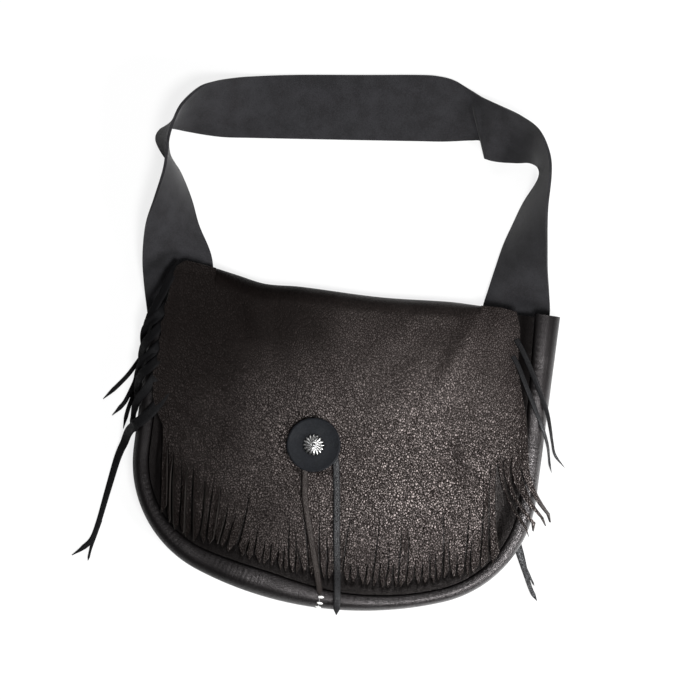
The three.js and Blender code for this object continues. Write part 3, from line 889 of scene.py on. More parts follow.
def inside(points: np.ndarray, outline: np.ndarray, margin: float) -> np.ndarray:
    """Which points lie inside an outline and clear of its sides.

    Args:
        points: The points.
        outline: The outline's own points.
        margin: The least distance from the outline's points.

    Returns:
        True for each point that does.
    """
    x, y = points[:, 0], points[:, 1]
    within = np.zeros(len(points), bool)
    for (x0, y0), (x1, y1) in zip(outline, np.roll(outline, -1, axis=0)):
        crosses = (y0 > y) != (y1 > y)
        if y1 != y0:
            within ^= crosses & (x < (x1 - x0) * (y - y0) / (y1 - y0) + x0)
    cells: dict[tuple[int, int], list[np.ndarray]] = {}
    for p in outline:
        cells.setdefault((int(p[0] // margin), int(p[1] // margin)), []).append(p)
    for i in np.nonzero(within)[0]:
        cx, cy = int(x[i] // margin), int(y[i] // margin)
        near = (q for dx in (-1, 0, 1) for dy in (-1, 0, 1) for q in cells.get((cx + dx, cy + dy), ()))
        if any((q[0] - x[i]) ** 2 + (q[1] - y[i]) ** 2 < margin**2 for q in near):
            within[i] = False
    return within


def fill(outline: np.ndarray, step: float) -> MeshData:
    """Fills an outline with even triangles.

    Args:
        outline: Its points, in order round it.
        step: The distance between the points inside it.

    Returns:
        The points and the triangles.
    """
    low, high = outline.min(axis=0), outline.max(axis=0)
    rows = np.arange(low[1], high[1], step * 0.866)
    grid = [(x + (step / 2 if k % 2 else 0), y) for k, y in enumerate(rows) for x in np.arange(low[0], high[0], step)]
    grid = np.array(grid)
    grid = grid[inside(grid, outline, step * 0.62)]
    points = np.vstack([outline, grid])
    found = delaunay_2d_cdt([Vector(p) for p in points.tolist()], [], [list(range(len(outline)))], 1, 1e-4)
    return np.array([tuple(v) for v in found[0]]), [list(f) for f in found[2]]


def grid_faces(rows: int, columns: int, closed: bool = False) -> list[list[int]]:
    """The faces between rows of points.

    Args:
        rows: How many rows there are.
        columns: How many points a row has.
        closed: Whether each row closes on itself.

    Returns:
        The faces.
    """
    return [
        [i * columns + k, i * columns + n, (i + 1) * columns + n, (i + 1) * columns + k]
        for i in range(rows - 1)
        for k, n in ((k, (k + 1) % columns) for k in range(columns if closed else columns - 1))
    ]


# A strip's section, in halves of its width and thickness
STRIP_SECTION = (
    (-1, 0), (-0.86, 0.9), (-0.5, 1), (0, 1.04), (0.5, 1), (0.86, 0.9), (1, 0), (0.86, -0.9), (0.5, -1), (0, -1),
    (-0.5, -1), (-0.86, -0.9),
)  # fmt: skip


def strip_points(
    centres: np.ndarray, sides: np.ndarray, ups: np.ndarray, widths: np.ndarray, thick: float
) -> MeshData:
    """A flat strip of leather with rounded edges along a line.

    Args:
        centres: Its middle line.
        sides: The direction across it at each point.
        ups: The direction out of its face at each point.
        widths: Its width at each point.
        thick: Its thickness.

    Returns:
        The points and the faces.
    """
    count = len(STRIP_SECTION)
    points = []
    for c, s, u, w in zip(centres, sides, ups, widths):
        points += [c + s * (a * w / 2) + u * (b * thick / 2) for a, b in STRIP_SECTION]
    faces = grid_faces(len(centres), count, closed=True)
    end = (len(centres) - 1) * count
    faces.append(list(range(count))[::-1])
    faces.append([end + j for j in range(count)])
    return np.array(points), faces


def smooth_line(points: Sequence[Point3], count: int) -> np.ndarray:
    """A smooth line through points, evenly by point number.

    Args:
        points: The points it goes through.
        count: How many points the line has.

    Returns:
        The line's points.
    """
    p = np.array(points, float)
    p = np.vstack([2 * p[0] - p[1], p, 2 * p[-1] - p[-2]])
    out = []
    for t in np.linspace(0, len(points) - 1, count):
        k = min(int(t), len(points) - 2)
        u = t - k
        a, b, c, d = p[k], p[k + 1], p[k + 2], p[k + 3]
        out.append(
            0.5 * (2 * b + (c - a) * u + (2 * a - 5 * b + 4 * c - d) * u**2 + (3 * b - a - 3 * c + d) * u**3)
        )
    return np.array(out)


def strip_frames(line: np.ndarray, roll: np.ndarray | None = None) -> tuple[np.ndarray, np.ndarray]:
    """The directions across and out of a strip that lies as flat as its line lets it.

    Args:
        line: The strip's middle line.
        roll: How far it is rolled about its line at each point, in radians.

    Returns:
        The directions across it and out of it.
    """
    ahead = np.gradient(line, axis=0)
    ahead /= np.linalg.norm(ahead, axis=1)[:, None]
    sides, ups = [], []
    side = np.array([1.0, 0, 0])
    for i, a in enumerate(ahead):
        if math.hypot(a[0], a[1]) > 0.35:
            side = np.cross((0, 0, 1), a)
            side /= np.linalg.norm(side)
        up = np.cross(a, side)
        up /= np.linalg.norm(up)
        across = np.cross(up, a)
        if roll is not None:
            c, s = math.cos(roll[i]), math.sin(roll[i])
            across, up = across * c + up * s, up * c - across * s
        sides.append(across)
        ups.append(up)
    return np.array(sides), np.array(ups)


# The pieces


@dataclass(frozen=True)
class Strand:
    """A loose strand: its width and the line down its middle, in mm."""

    width: float
    line: list[Point3]
    roll: float = 0.0
    tip: float = 0.14
    taper: float = 0.5


# The loose strands, in mm: eight at the flap's left edge, a long one there with its fork, two at the right edge, and
# the back panel's own one with its fork
LOOSE_STRANDS = (
    Strand(11, [(-170, 104, 38.6), (-177, 96, 38), (-182.5, 88, 31), (-184, 76, 19), (-184.5, 62, 11),
        (-185, 48, 6), (-186, 34, 3.4), (-188, 22, 2)], 0.9),
    Strand(9, [(-169, 72, 38.8), (-176, 64, 38), (-182.5, 55, 30), (-184, 43, 18), (-184.5, 30, 10),
        (-185, 17, 5), (-186, 5, 2.6)], 0.8),
    Strand(8, [(-160.5, 148, 38.2), (-164.5, 140.5, 39), (-168, 131, 39), (-171, 122, 37), (-175, 111.5, 38.2),
        (-179, 101.5, 37.8), (-184.2, 92, 32.5), (-185.5, 87.5, 22), (-186.5, 74, 14), (-187, 62, 8),
        (-190, 53, 4), (-196, 42.5, 2), (-203, 33, 1.4), (-210, 24.5, 1.2), (-215.5, 18, 1.2)], 0.5),
    Strand(8.5, [(-166, 109, 38.4), (-171, 102, 39.6), (-176, 96, 38.6), (-183.5, 88, 33), (-186.5, 79.5, 22),
        (-186, 68.5, 13), (-186.5, 57.5, 7), (-187, 50, 4), (-188, 42.5, 2.4)], -0.35),
    Strand(8, [(-166, 96.5, 38.4), (-171.5, 88, 39.8), (-177, 80, 38.2), (-184, 71.5, 31), (-186.5, 63.5, 19),
        (-187, 55.5, 10), (-188, 47, 5), (-188.5, 39, 3), (-191.5, 29.5, 1.6), (-195.5, 18.5, 1.4),
        (-200, 11.5, 1.2), (-205.5, 4.5, 1.2)], 0.45),
    Strand(7.5, [(-165.5, 79.5, 38.4), (-170.5, 71, 39.6), (-176.5, 63, 38), (-184, 55, 31), (-186.5, 47, 18),
        (-186.5, 38.5, 9), (-187.5, 31, 4), (-189.5, 22.5, 1.6), (-191.5, 14.5, 1.2), (-193, 4.5, 1.2),
        (-194, -6, 1.2)], -0.4),
    Strand(8, [(-165.5, 66.5, 38.4), (-170, 58.5, 39.4), (-176, 51, 38.2), (-184, 43, 31.5), (-186.5, 34, 20),
        (-186, 24, 12), (-186.5, 14, 6), (-187, 4, 2.4), (-188, -4.5, 1.4)], 0.35),
    Strand(9, [(-165.5, 53, 38.4), (-170, 41.5, 39.4), (-176, 31, 38.2), (-184, 20, 32.5), (-186.5, 10, 21),
        (-187, 1, 12), (-189, -7.5, 5)], -0.45),
    Strand(9.5, [(-158, 34, 37), (-165, 19, 39.4), (-173, 8, 39), (-182, 0, 35), (-188, -6, 23), (-192, -16, 9),
        (-196, -35, 3.4), (-201, -66, 1.6), (-205, -92, 1.4), (-209, -108, 1.3), (-216, -117, 1.2),
        (-225, -125, 1.2)], 0.3),
    Strand(4.5, [(-204, -90, 1.4), (-207, -104, 1.3), (-209, -117, 1.2), (-210, -128, 1.2)], 0),
    Strand(5, [(144, 119, 33.5), (151, 109, 36.5), (161, 92, 39.6), (170, 76, 40), (178.5, 60, 37),
        (184.5, 45, 26), (189, 33, 12), (194, 21, 3), (204, 11, 1.2)], 0.4),
    Strand(4.5, [(143, 104, 33.5), (149, 95, 36), (157, 80, 39), (167, 62, 40), (176, 46, 38.4), (183.5, 31, 28),
        (187.5, 21, 12), (190, 13, 3.4), (193, 5, 1.2)], -0.3),
    Strand(8, [(158, -44, 0.9), (166, -54, 0.9), (174, -70, 0.9), (181, -86, 0.9), (188, -101, 0.9),
        (195, -111, 0.9)], 0),
    Strand(3.5, [(176, -76, 0.9), (182, -85, 0.9), (187, -92, 0.9), (191, -98, 0.9)], 0),
)  # fmt: skip


@dataclass(frozen=True)
class Looseness:
    """How far the fringe's strands lift, tilt, curl up and sway, and how far their edges rise, in mm."""

    lift: Point2
    tilt: Point2
    curl: Point2
    sway: float
    edges: float


@dataclass
class Hide:
    """The back panel, the neck over the mouth, and the fringed flap, cut as one piece."""

    plan: BagPlan
    leather: Leather
    surface: BagSurface
    back_inset: float = 14.0
    cut_width: float = 1.7
    tip_drop: float = 5.0
    strand_width: float = 8.0
    step: float = 2.1
    back_step: float = 7.0
    neck_turns: int = 14
    neck_lap: float = 4.0
    neck_drop: float = 2.6
    neck_inset: float = 0.6
    neck_soft: float = 26.0
    tuck: float = 2.6
    tuck_aside: float = 1.6
    loose_cuts: int = 12
    loose_end: Looseness = Looseness((1.2, 3.4), (1.4, 3.0), (0.3, 2.2), 0.9, 1.5)
    close_end: Looseness = Looseness((0.3, 1.8), (0.8, 2.3), (0.0, 0.8), 0.25, 0.5)
    neck_line: tuple[Point2, ...] = (
        (-128, 147.3), (-110, 144), (-84, 139.5), (-53, 141), (20, 141), (82, 145), (109, 145),
    )  # fmt: skip
    left_edge: tuple[Point2, ...] = (
        (-128.3, 147.4), (-142.5, 149), (-154, 150.5), (-157.5, 149), (-162.5, 144.5), (-164.5, 138.5),
        (-165, 130.5), (-166.5, 122.5), (-167, 113.5), (-169, 107), (-167.5, 100), (-170, 92.5),
        (-168.5, 84.5), (-169.5, 76.5), (-168, 69.5), (-169.5, 63), (-168.5, 58), (-171.5, 49.5),
        (-170, 38), (-168.5, 26.5), (-164.5, 16.5),
    )  # fmt: skip
    right_edge: tuple[Point2, ...] = (
        (190.4, -27.5), (186, -22.8), (181, -16.5), (175, -6.5), (170.5, 4), (166, 27), (162, 50), (157, 66),
        (152, 83), (148, 101), (148, 114),
        (146, 129), (141, 143.5), (126, 145.5), (109.3, 145),
    )  # fmt: skip
    cuts: tuple[tuple[float, float, float, float], ...] = (
        (-157, 3, -149, -67), (-151, -9, -142, -72), (-144, -17, -137, -80), (-137, -23, -131, -83),
        (-131, -29, -125, -85), (-125, -28, -118, -89), (-114, -38, -112, -91), (-105, -37, -106, -91),
        (-99, -42, -99, -90), (-90, -59, -93, -90), (-82, -67, -86, -94), (-73, -44, -77, -96),
        (-67, -86, -69, -99), (-61, -76, -62, -101), (-54, -86, -54, -103), (-47, -85, -47, -103),
        (-41, -91, -41, -105), (-36, -88, -35, -106), (-34, -66, -30, -107), (-29, -73, -24, -107),
        (-25, -86, -18, -107), (-32, -20, -12, -106), (-13, -76, -7, -107), (-8, -56, -2, -108),
        (-1, -74, 4, -108), (6, -69, 11, -107), (19, -47, 18, -107), (24, -95, 25, -108),
        (31, -97, 32, -108), (39, -93, 39, -109), (45, -54, 45, -109), (51, -91, 51, -109),
        (56, -76, 57, -109), (62, -90, 63, -108), (65, -57, 68, -107), (71, -55, 75, -106),
        (81, -87, 82, -103), (87, -85, 88, -101), (92, -71, 95, -100), (98, -79, 101, -98),
        (98, -33, 106, -95), (108, -60, 112, -92), (117, -75, 118, -92), (122, -32, 125, -91),
        (128, -61, 130, -88), (131, -3, 138, -82), (135.5, 9, 145.5, -79), (141.5, 18, 171.5, -49),
        (147, 17, 177, -46), (154.5, 18, 184.8, -38.5), (162.5, 9.5, 190.5, -35.5),
    )  # fmt: skip
    last_top: Point2 = (167.5, 20.0)
    last_mouth: Point2 = (195.2, -31.5)
    swept: tuple[float, ...] = (-7.5, -8.6, -10.7, -5.2)
    swept_width: float = 3.2
    swept_gap: float = 2.3
    leans: tuple[float, ...] = (0.2, 0.75, 0.5, 0.85, 0.3)
    loose: tuple[Strand, ...] = LOOSE_STRANDS

    def neck_start(self, x: float) -> tuple[float, float]:
        """Where the fold over the mouth begins, and how far it stands out.

        Args:
            x: The place along the mouth.

        Returns:
            The fold's first y on the flap, and its outer radius.
        """
        top = float(self.surface.under_profile(self.plan.half_width - abs(x))) + self.leather.hide
        return float(Profile(self.neck_line)(x)) - top / 2, top / 2

    def neck_places(self) -> list[float]:
        """The places along the mouth where the neck has points.

        Returns:
            Their x, from left to right.
        """
        left, right = self.neck_line[0][0], self.neck_line[-1][0]
        count = round((right - left) / self.step)
        return [left + (right - left) * k / count for k in range(count + 1)]

    @property
    def first_swept(self) -> int:
        """The first of the cuts at the right whose strands sweep out over the gusset."""
        return len(self.cuts) - len(self.swept)

    def cut_line(self, index: int, y: np.ndarray | float) -> np.ndarray:
        """The x of a cut's line at some y, carried on above its top.

        Args:
            index: The cut's number.
            y: The height or heights.

        Returns:
            The x at each of them.
        """
        if index >= len(self.cuts):
            (top_x, top_y), (mouth_x, mouth_y) = self.last_top, self.last_mouth
        else:
            top_x, top_y, mouth_x, mouth_y = self.cuts[index]
        t = (top_y - np.asarray(y, float)) / (top_y - mouth_y)
        bow = 1.2 * math.sin(index * 2.4) * (0.4 if abs(top_y - mouth_y) < 30 else 1)
        last = 1.0
        if 0 <= index - self.first_swept < len(self.swept):
            bow, last = self.swept[index - self.first_swept], 1.3
        return top_x + (mouth_x - top_x) * t + bow * np.clip(t, 0, last) * (1 - np.clip(t, 0, last)) * 4

    def fringe_edge(self) -> list[Point2]:
        """The fringe's lower edge: down one side of each strand, round its point, and up to the next cut.

        Returns:
            Its points, from left to right.
        """
        mouths = [*[(c[2], c[3]) for c in self.cuts], self.last_mouth]
        edge: list[Point2] = []
        for i, (top_x, top_y, _, _) in enumerate(self.cuts):
            (x0, y0), (x1, y1) = mouths[i], mouths[i + 1]
            swept = i >= self.first_swept
            gap = self.swept_gap if swept else self.cut_width
            width = min(x1 - x0 - gap, self.swept_width if i >= self.first_swept - 1 else self.strand_width)
            left = x0 + gap / 2
            lean = self.leans[i % len(self.leans)]
            low = (y0 + min(y1, y0 + 8)) / 2 - self.tip_drop
            left_y, right_y = low + self.tip_drop * 2 * lean, low + self.tip_drop * 2 * (1 - lean)
            if swept:
                left_y, right_y = low + 7, low + 8
            tip_left = (max(left, float(self.cut_line(i, left_y)) + gap / 2), left_y)
            tip_right = (min(left + width, float(self.cut_line(i + 1, right_y)) - gap / 2), right_y)
            tip = float(self.cut_line(i, low)) + gap / 2 + width * 0.35 if swept else left + width * lean
            edge.append((top_x, top_y))
            edge += self.cut_side(i, top_y, tip_left, gap / 2)
            edge.append((tip, low))
            next_top = self.cuts[i + 1][1] if i + 1 < len(self.cuts) else self.right_edge[0][1]
            side = self.cut_side(i + 1, next_top, tip_right, -gap / 2)
            edge += side[::-1] if i + 1 < len(self.cuts) else [tip_right]
        return edge

    def cut_side(self, index: int, top_y: float, tip: Point2, aside: float) -> list[Point2]:
        """One side of a cut, from below its top to a strand's tip.

        Args:
            index: The cut's number.
            top_y: The cut's top.
            tip: Where the side ends.
            aside: How far the side stands from the cut's line at the mouth.

        Returns:
            Its points, downwards.
        """
        count = max(2, round((top_y - tip[1]) / 4))
        points = []
        for k in range(1, count):
            y = top_y + (tip[1] - top_y) * k / count
            along = k / count
            base = float(self.cut_line(index, y)) + aside * (0.25 + 0.75 * min(1.0, along * 1.6))
            end = float(self.cut_line(index, tip[1])) + aside
            points.append((base + (tip[0] - end) * along**2, y))
        points.append(tip)
        return points

    def flap_mesh(self) -> MeshData:
        """The flap's middle surface: its outline filled, then laid over the bag.

        Returns:
            The points and the faces.
        """
        neck = [(x, self.neck_start(x)[0]) for x in self.neck_places()][::-1]
        outline = [*self.left_edge, *self.fringe_edge(), *self.right_edge]
        dense = densify(outline, self.step)
        dense = dense[: len(dense) - max(1, math.ceil(math.dist(outline[-1], outline[0]) / self.step)) + 1]
        points, faces = fill(np.vstack([dense, neck]), self.step)
        return self.lay_flap(points), faces

    def lay_flap(self, points: np.ndarray) -> np.ndarray:
        """Gives the flap's flat points their heights, with each strand lifted and turned its own way.

        Args:
            points: The flat points.

        Returns:
            The points in space.
        """
        x, y = points[:, 0], points[:, 1]
        z = self.surface.under_flap(x, y) + self.leather.hide / 2
        rng = random.Random(11)
        edges = [self.cut_line(i, y) for i in range(len(self.cuts) + 1)]
        tops = [c[1] for c in self.cuts] + [self.last_top[1]]
        for i in range(len(self.cuts)):
            way = self.loose_end if i < self.loose_cuts else self.close_end
            lift = rng.uniform(*way.lift)
            tilt = rng.choice((-1, 1)) * rng.uniform(*way.tilt)
            curl = rng.uniform(*way.curl)
            sway = rng.uniform(-1.0, 1.0) * way.sway
            here = (x >= edges[i] - 0.01) & (x <= edges[i + 1] + 0.01)
            down = np.clip(min(tops[i], tops[i + 1]) - y, 0, None)
            across = np.clip((x - edges[i]) / np.maximum(edges[i + 1] - edges[i], 0.5), 0, 1)
            free = ease(down, 0, 26)
            rise = free * (max(lift, abs(tilt) / 2) + tilt * (across - 0.5)) + curl * ease(down, 14, 60) ** 2
            rise = rise + way.edges * free * np.abs(2 * across - 1) ** 3
            z = np.where(here, z + rise, z)
            x = np.where(here, x + sway * free, x)
        left_ear = ease(-x, 128, 165) * ease(y, 112, 150)
        right_ear = ease(x, 108, 142) * ease(y, 118, 145)
        rim = ease(y, 141, 151) * ease(-x, 125, 140)
        z = z + 1.8 * left_ear + 1.2 * right_ear + 1.2 * rim
        return np.column_stack([x, y, z])

    def neck_mesh(self) -> MeshData:
        """The fold over the mouth, from the flap round to the back panel.

        Returns:
            The points and the faces.
        """
        inner = self.neck_places()
        places = [inner[0] - self.neck_lap, *inner, inner[-1] + self.neck_lap]
        half = self.leather.hide / 2
        points = []
        for x in places:
            start, _ = self.neck_start(min(max(x, inner[0]), inner[-1]))
            beyond = x not in inner
            flap = float(self.surface.under_flap(np.array([x]), np.array([start]))[0])
            top = -self.neck_drop * beyond + flap + half
            radius = (top - half) / 2
            reach = float(Profile(self.neck_line)(x)) - half - start - self.neck_inset * beyond
            from_end = max(min(x - inner[0], inner[-1] - x), 0)
            full = 0.5 + 0.5 * float(ease(from_end, 0, self.neck_soft))
            for k in range(self.neck_turns + 1):
                angle = math.pi / 2 - math.pi * k / self.neck_turns
                out = abs(math.cos(angle)) ** full
                up = math.copysign(abs(math.sin(angle)) ** full, math.sin(angle))
                points.append((x, start + reach * out, half + radius + radius * up))
        return np.array(points), grid_faces(len(places), self.neck_turns + 1)

    def back_mesh(self) -> MeshData:
        """The back panel's middle surface, flat on the floor.

        Returns:
            The points and the faces.
        """
        length = self.plan.length_to(self.plan.mouth_y)
        outline = []
        for s in np.linspace(-length, length, 200):
            x, y, in_x, in_y = self.plan.rim(float(s))
            outline.append((x + in_x * self.back_inset, y + in_y * self.back_inset))
        neck = [(x, self.neck_start(x)[0]) for x in self.neck_places()][::-1]
        corners = [(neck[0][0] + 2, self.plan.mouth_y), *neck, (neck[-1][0] - 2, self.plan.mouth_y)]
        points, faces = fill(np.array(outline + corners), self.back_step)
        return np.column_stack([points, np.full(len(points), self.leather.hide / 2)]), faces

    def build(self, materials: Sequence[Material]) -> list[Piece]:
        """Makes the hide and its loose strands.

        Args:
            materials: The leather, its cut edge and the loose strands' leather.

        Returns:
            The objects, the hide first.
        """
        points: list[np.ndarray] = []
        faces: list[list[int]] = []
        for part_points, part_faces in (self.flap_mesh(), self.neck_mesh(), self.back_mesh()):
            start = sum(len(p) for p in points)
            points.append(part_points)
            faces += [[start + i for i in f] for f in part_faces]
        hide = make_object("hide_flap_and_back", np.vstack(points), faces, materials[:2])
        tidy(hide, 0.02)
        thicken(hide, self.leather.hide)
        smooth(hide, 45)
        strands = [self.strand(i, s, materials[2:]) for i, s in enumerate(self.loose)]
        return [hide, *strands]

    def strand(self, index: int, strand: Strand, materials: Sequence[Material]) -> Piece:
        """Makes one loose strand.

        Args:
            index: Its number.
            strand: Its width and line.
            materials: The leather and its cut edge.

        Returns:
            The object.
        """
        line = smooth_line(strand.line, len(strand.line) * 8)
        t = np.linspace(0, 1, len(line))
        if line[0, 2] > 36:
            line[:, 2] -= self.tuck * (1 - ease(t, 0.03, 0.16))
            line[:, 0] += self.tuck_aside * ease(-line[:, 0], 180, 184) * ease(line[:, 2], 3, 8)
        roll = strand.roll * np.sin(np.pi * np.clip(t * 1.25, 0, 1))
        sides, ups = strip_frames(line, roll)
        widths = strand.width * (1 - (1 - strand.taper) * ease(t, 0.25, 0.8))
        widths = widths * np.minimum(1, strand.tip + (1 - strand.tip) * (1 - t) / 0.1)
        points, faces = strip_points(line, sides, ups, widths, self.leather.strand)
        points[:, 2] = np.maximum(points[:, 2], 0.15)
        obj = make_object(f"loose_strand_{index + 1}", points, faces, materials)
        smooth(obj, 60)
        return obj


@dataclass
class FrontPanel:
    """The dished front panel, with its seam edge turned down into the bag."""

    plan: BagPlan
    leather: Leather
    surface: BagSurface
    top_y: float = 125.0
    right_top_y: float = 141.0
    step_x: Point2 = (113.0, 124.0)
    turned: float = 6.0
    mouth_drop: float = 3.0
    step: float = 3.2
    rim_points: int = 340

    def build(self, materials: Sequence[Material]) -> Piece:
        """Makes the panel.

        Args:
            materials: The leather and its cut edge.

        Returns:
            The object.
        """
        rim: list[Point2] = []
        start, end = -self.plan.length_to(self.top_y), self.plan.length_to(self.right_top_y)
        for s in np.linspace(start, end, self.rim_points):
            x, y, in_x, in_y = self.plan.rim(float(s))
            inset = float(self.surface.seam_at(float(s))) + self.leather.gap + self.leather.hide / 2
            rim.append((x + in_x * inset, y + in_y * inset))
        step_left, step_right = self.step_x
        top = densify([rim[-1], (step_right, self.right_top_y), (step_left, self.top_y), rim[0]], self.step)
        top = top[1 : np.flatnonzero((top == np.array(rim[0])).all(axis=1))[0]]
        flat, faces = fill(np.vstack([np.array(rim), top]), self.step)
        x, y = flat[:, 0], flat[:, 1]
        z = self.surface.front_top(x, y) - self.leather.hide / 2
        z = z - self.mouth_drop * ease(y, 96, 124) * (1 - ease(x, 108, 124))
        points = np.column_stack([x, y, z]).tolist()
        found = {(round(px, 2), round(py, 2)): i for i, (px, py) in enumerate(flat.tolist())}
        above = [found[(round(px, 2), round(py, 2))] for px, py in rim]
        for _ in range(2):
            below = list(range(len(points), len(points) + len(above)))
            points += [[points[i][0], points[i][1], points[i][2] - self.turned * 0.5] for i in above]
            faces += [[above[k], above[k + 1], below[k + 1], below[k]] for k in range(len(rim) - 1)]
            above = below
        panel = make_object("front_panel_leather", np.array(points), faces, materials)
        tidy(panel)
        thicken(panel, self.leather.hide)
        smooth(panel, 60)
        return panel


@dataclass
class Gusset:
    """Half of the rolled gusset, from the bottom's middle to the mouth."""

    plan: BagPlan
    leather: Leather
    surface: BagSurface
    start: float
    end: float
    name: str
    height: float = 36.0
    allowance: float = 6.0
    step: float = 0.8
    gathered: tuple[Point2, ...] = ((-150, 22), (-70, 28), (110, 38), (250, 40))
    seam_edge: tuple[Point3, ...] = ((2.2, 0.7, 0.6), (0.8, 1.4, 1.0), (0.1, 2.8, 0.5))
    roll_steps: int = 16

    def section(self, distance: float) -> list[Point2]:
        """The line down the middle of the leather, as distances in from the outline and heights.

        Args:
            distance: The place along the outline.

        Returns:
            The line, from the allowance on the back panel to the one at the front seam.
        """
        half = self.leather.hide / 2
        seam = float(self.surface.seam_at(distance)) - half
        low = self.leather.hide + self.leather.gap + half
        crown = 1 - 0.018 * math.sin(distance / 23) - 0.012 * math.sin(distance / 9.5 + 1)
        high = (self.height - half) * min(crown, 1.0)
        middle = seam * 0.56
        line = [(seam + 5, low), (13.0, low)]
        for k in range(self.roll_steps + 1):
            angle = -math.pi / 2 - math.pi * k / self.roll_steps
            out = math.copysign(abs(math.cos(angle)) ** 0.9, math.cos(angle))
            line.append((middle + (middle - half) * out, low + (high - low) / 2 * (1 + math.sin(angle))))
        pucker = 0.35 * math.sin(distance / 0.9) * (0.6 + 0.4 * math.sin(distance / 17))
        line.append((seam - (seam - middle) * 0.62, high - 0.35))
        line += [(seam - out, high - down + pucker * share) for out, down, share in self.seam_edge]
        line.append((seam, high - 2.8 - self.allowance))
        gathers = sum(math.exp(-(((distance - at) / wide) ** 2)) for at, wide in self.gathered)
        ripple = 0.08 * (0.2 + gathers) * math.sin(distance / 0.55 + 2.5 * math.sin(distance / 4.3))
        return [(r, z + ripple * float(ease(z, high - 12, high - 1))) for r, z in line]

    def build(self, materials: Sequence[Material]) -> Piece:
        """Makes the gusset half.

        Args:
            materials: The leather and its cut edge.

        Returns:
            The object.
        """
        count = round(abs(self.end - self.start) / self.step)
        points = []
        for s in np.linspace(self.start, self.end, count + 1):
            x, y, in_x, in_y = self.plan.rim(float(s))
            points += [(x + in_x * inward, y + in_y * inward, z) for inward, z in self.section(float(s))]
        faces = grid_faces(count + 1, len(self.section(0)))
        gusset = make_object(self.name, np.array(points), faces, materials)
        thicken(gusset, self.leather.hide)
        tidy(gusset, 0.002)
        smooth(gusset, 50)
        return gusset


@dataclass
class Strap:
    """The wide flat strap, between its outer and its inner edge."""

    leather: Leather
    width: float = 58.0
    outer: tuple[Point3, ...] = (
        (-186, 101, 4.4), (-192, 128, 15), (-195, 151, 28), (-194, 177, 42), (-189, 199, 50),
        (-185, 217, 55), (-183, 230, 57.5), (-183, 243, 58.3), (-183, 257, 57.5), (-180, 273, 55.5),
        (-175, 287, 51.5), (-163, 303, 42), (-151, 311, 31), (-137, 317, 20), (-118, 323, 7),
        (-78, 330, 1.9), (-24, 337, 1.9), (29, 344, 1.9), (47, 345, 1.9), (61, 343, 2.4),
        (74, 337, 5), (85, 331, 11), (94, 327, 19), (103, 323, 27), (121, 315, 41),
        (138, 304, 49.5), (149, 285, 56), (153, 266, 57.5), (154, 239, 55), (156, 222, 51),
        (159, 205, 44), (163, 184, 34), (168, 165, 22), (172, 146, 13), (172, 124, 11),
        (170, 98, 9),
    )  # fmt: skip
    inner: tuple[Point3, ...] = (
        (-130, 101, 3.5), (-130, 128, 7), (-134, 156, 18), (-150, 183, 9), (-160, 205, 4),
        (-170, 223, 2.2), (-178, 234, 1.9), (-189, 242, 1.9), (-198, 255, 1.9), (-196, 264, 1.9),
        (-188, 268, 1.9), (-171, 267, 1.9), (-154, 266, 1.9), (-137, 266, 1.9), (-115, 268, 1.9),
        (-70, 273, 1.9), (-16, 279, 1.9), (37, 285, 1.9), (55, 287, 1.9), (68, 289, 1.9),
        (82, 291.2, 1.9), (92, 291.4, 2.2), (97.2, 281.5, 2.6), (103, 275.2, 2.4), (124, 277, 1.9),
        (137, 279, 1.9), (146, 275, 1.9), (147, 264, 1.9), (137, 242, 1.9), (130, 221, 2),
        (124, 202, 3), (119, 179, 4.4), (115, 160, 6), (112, 144, 6), (112, 124, 4.6),
        (113, 98, 3.5),
    )  # fmt: skip
    lap_line: tuple[Point2, Point2] = ((77.3, 329.7), (98.5, 276.9))
    lap_height: Point2 = (1.6, 4.6)
    lap_fade: float = 24.0
    lap_overhang: float = 0.7
    bow: float = 2.6
    length_steps: int = 560
    width_steps: int = 30
    measure_steps: int = 400

    def build(self, materials: Sequence[Material]) -> Piece:
        """Makes the strap.

        Args:
            materials: The suede and its cut edge.

        Returns:
            The object.
        """
        outer = smooth_line(self.outer, self.length_steps)
        inner = smooth_line(self.inner, self.length_steps)
        middle = (outer + inner) / 2
        ahead = np.gradient(middle, axis=0)
        across = inner - outer
        face = np.cross(across, ahead)
        face /= np.linalg.norm(face, axis=1)[:, None]
        steep = np.clip(np.abs(across[:, 2]) / self.width, 0, 1)
        points = []
        for k in range(self.width_steps + 1):
            u = k / self.width_steps
            bow = np.sin(math.pi * u) * (self.bow * steep)[:, None]
            points.append(outer + across * u + face * bow)
        grid = self.lap(np.stack(points, axis=1))
        grid[:, :, 2] = np.maximum(grid[:, :, 2], self.leather.strap / 2 + 0.2)
        faces = grid_faces(self.length_steps, self.width_steps + 1)
        strap = make_object("strap_suede_strip", grid.reshape(-1, 3), faces, materials)
        thicken(strap, self.leather.strap, 0)
        smooth(strap, 50)
        return strap

    def lap(self, grid: np.ndarray) -> np.ndarray:
        """Raises the right-hand lobe over the band beside it, with a steep overhanging step.

        Args:
            grid: The strip's points.

        Returns:
            The points with the step.
        """
        (x0, y0), (x1, y1) = self.lap_line
        run, rise = x1 - x0, y1 - y0
        length = math.hypot(run, rise)
        dx, dy = grid[:, :, 0] - x0, grid[:, :, 1] - y0
        beyond = (dy * run - dx * rise) / length
        down = np.clip((dx * run + dy * rise) / length**2, 0, 1.1)
        near = ease(dx, -30, -5) * (1 - ease(dx, 70, 95)) * ease(dy, rise - 16, rise - 6)
        fall = np.exp(-np.clip(beyond, 0, None) / self.lap_fade)
        tall = (self.lap_height[0] + self.lap_height[1] * down) * ease(down, 0.0, 0.3)
        climb = tall * ease(beyond, -30, 0) * fall * near
        step = tall * ease(beyond, -1.5, 2.2) * fall * near
        grid[:, :, 2] += climb + step
        grid[:, :, 0] -= self.lap_overhang * step * np.exp(-((beyond / 5) ** 2))
        return grid


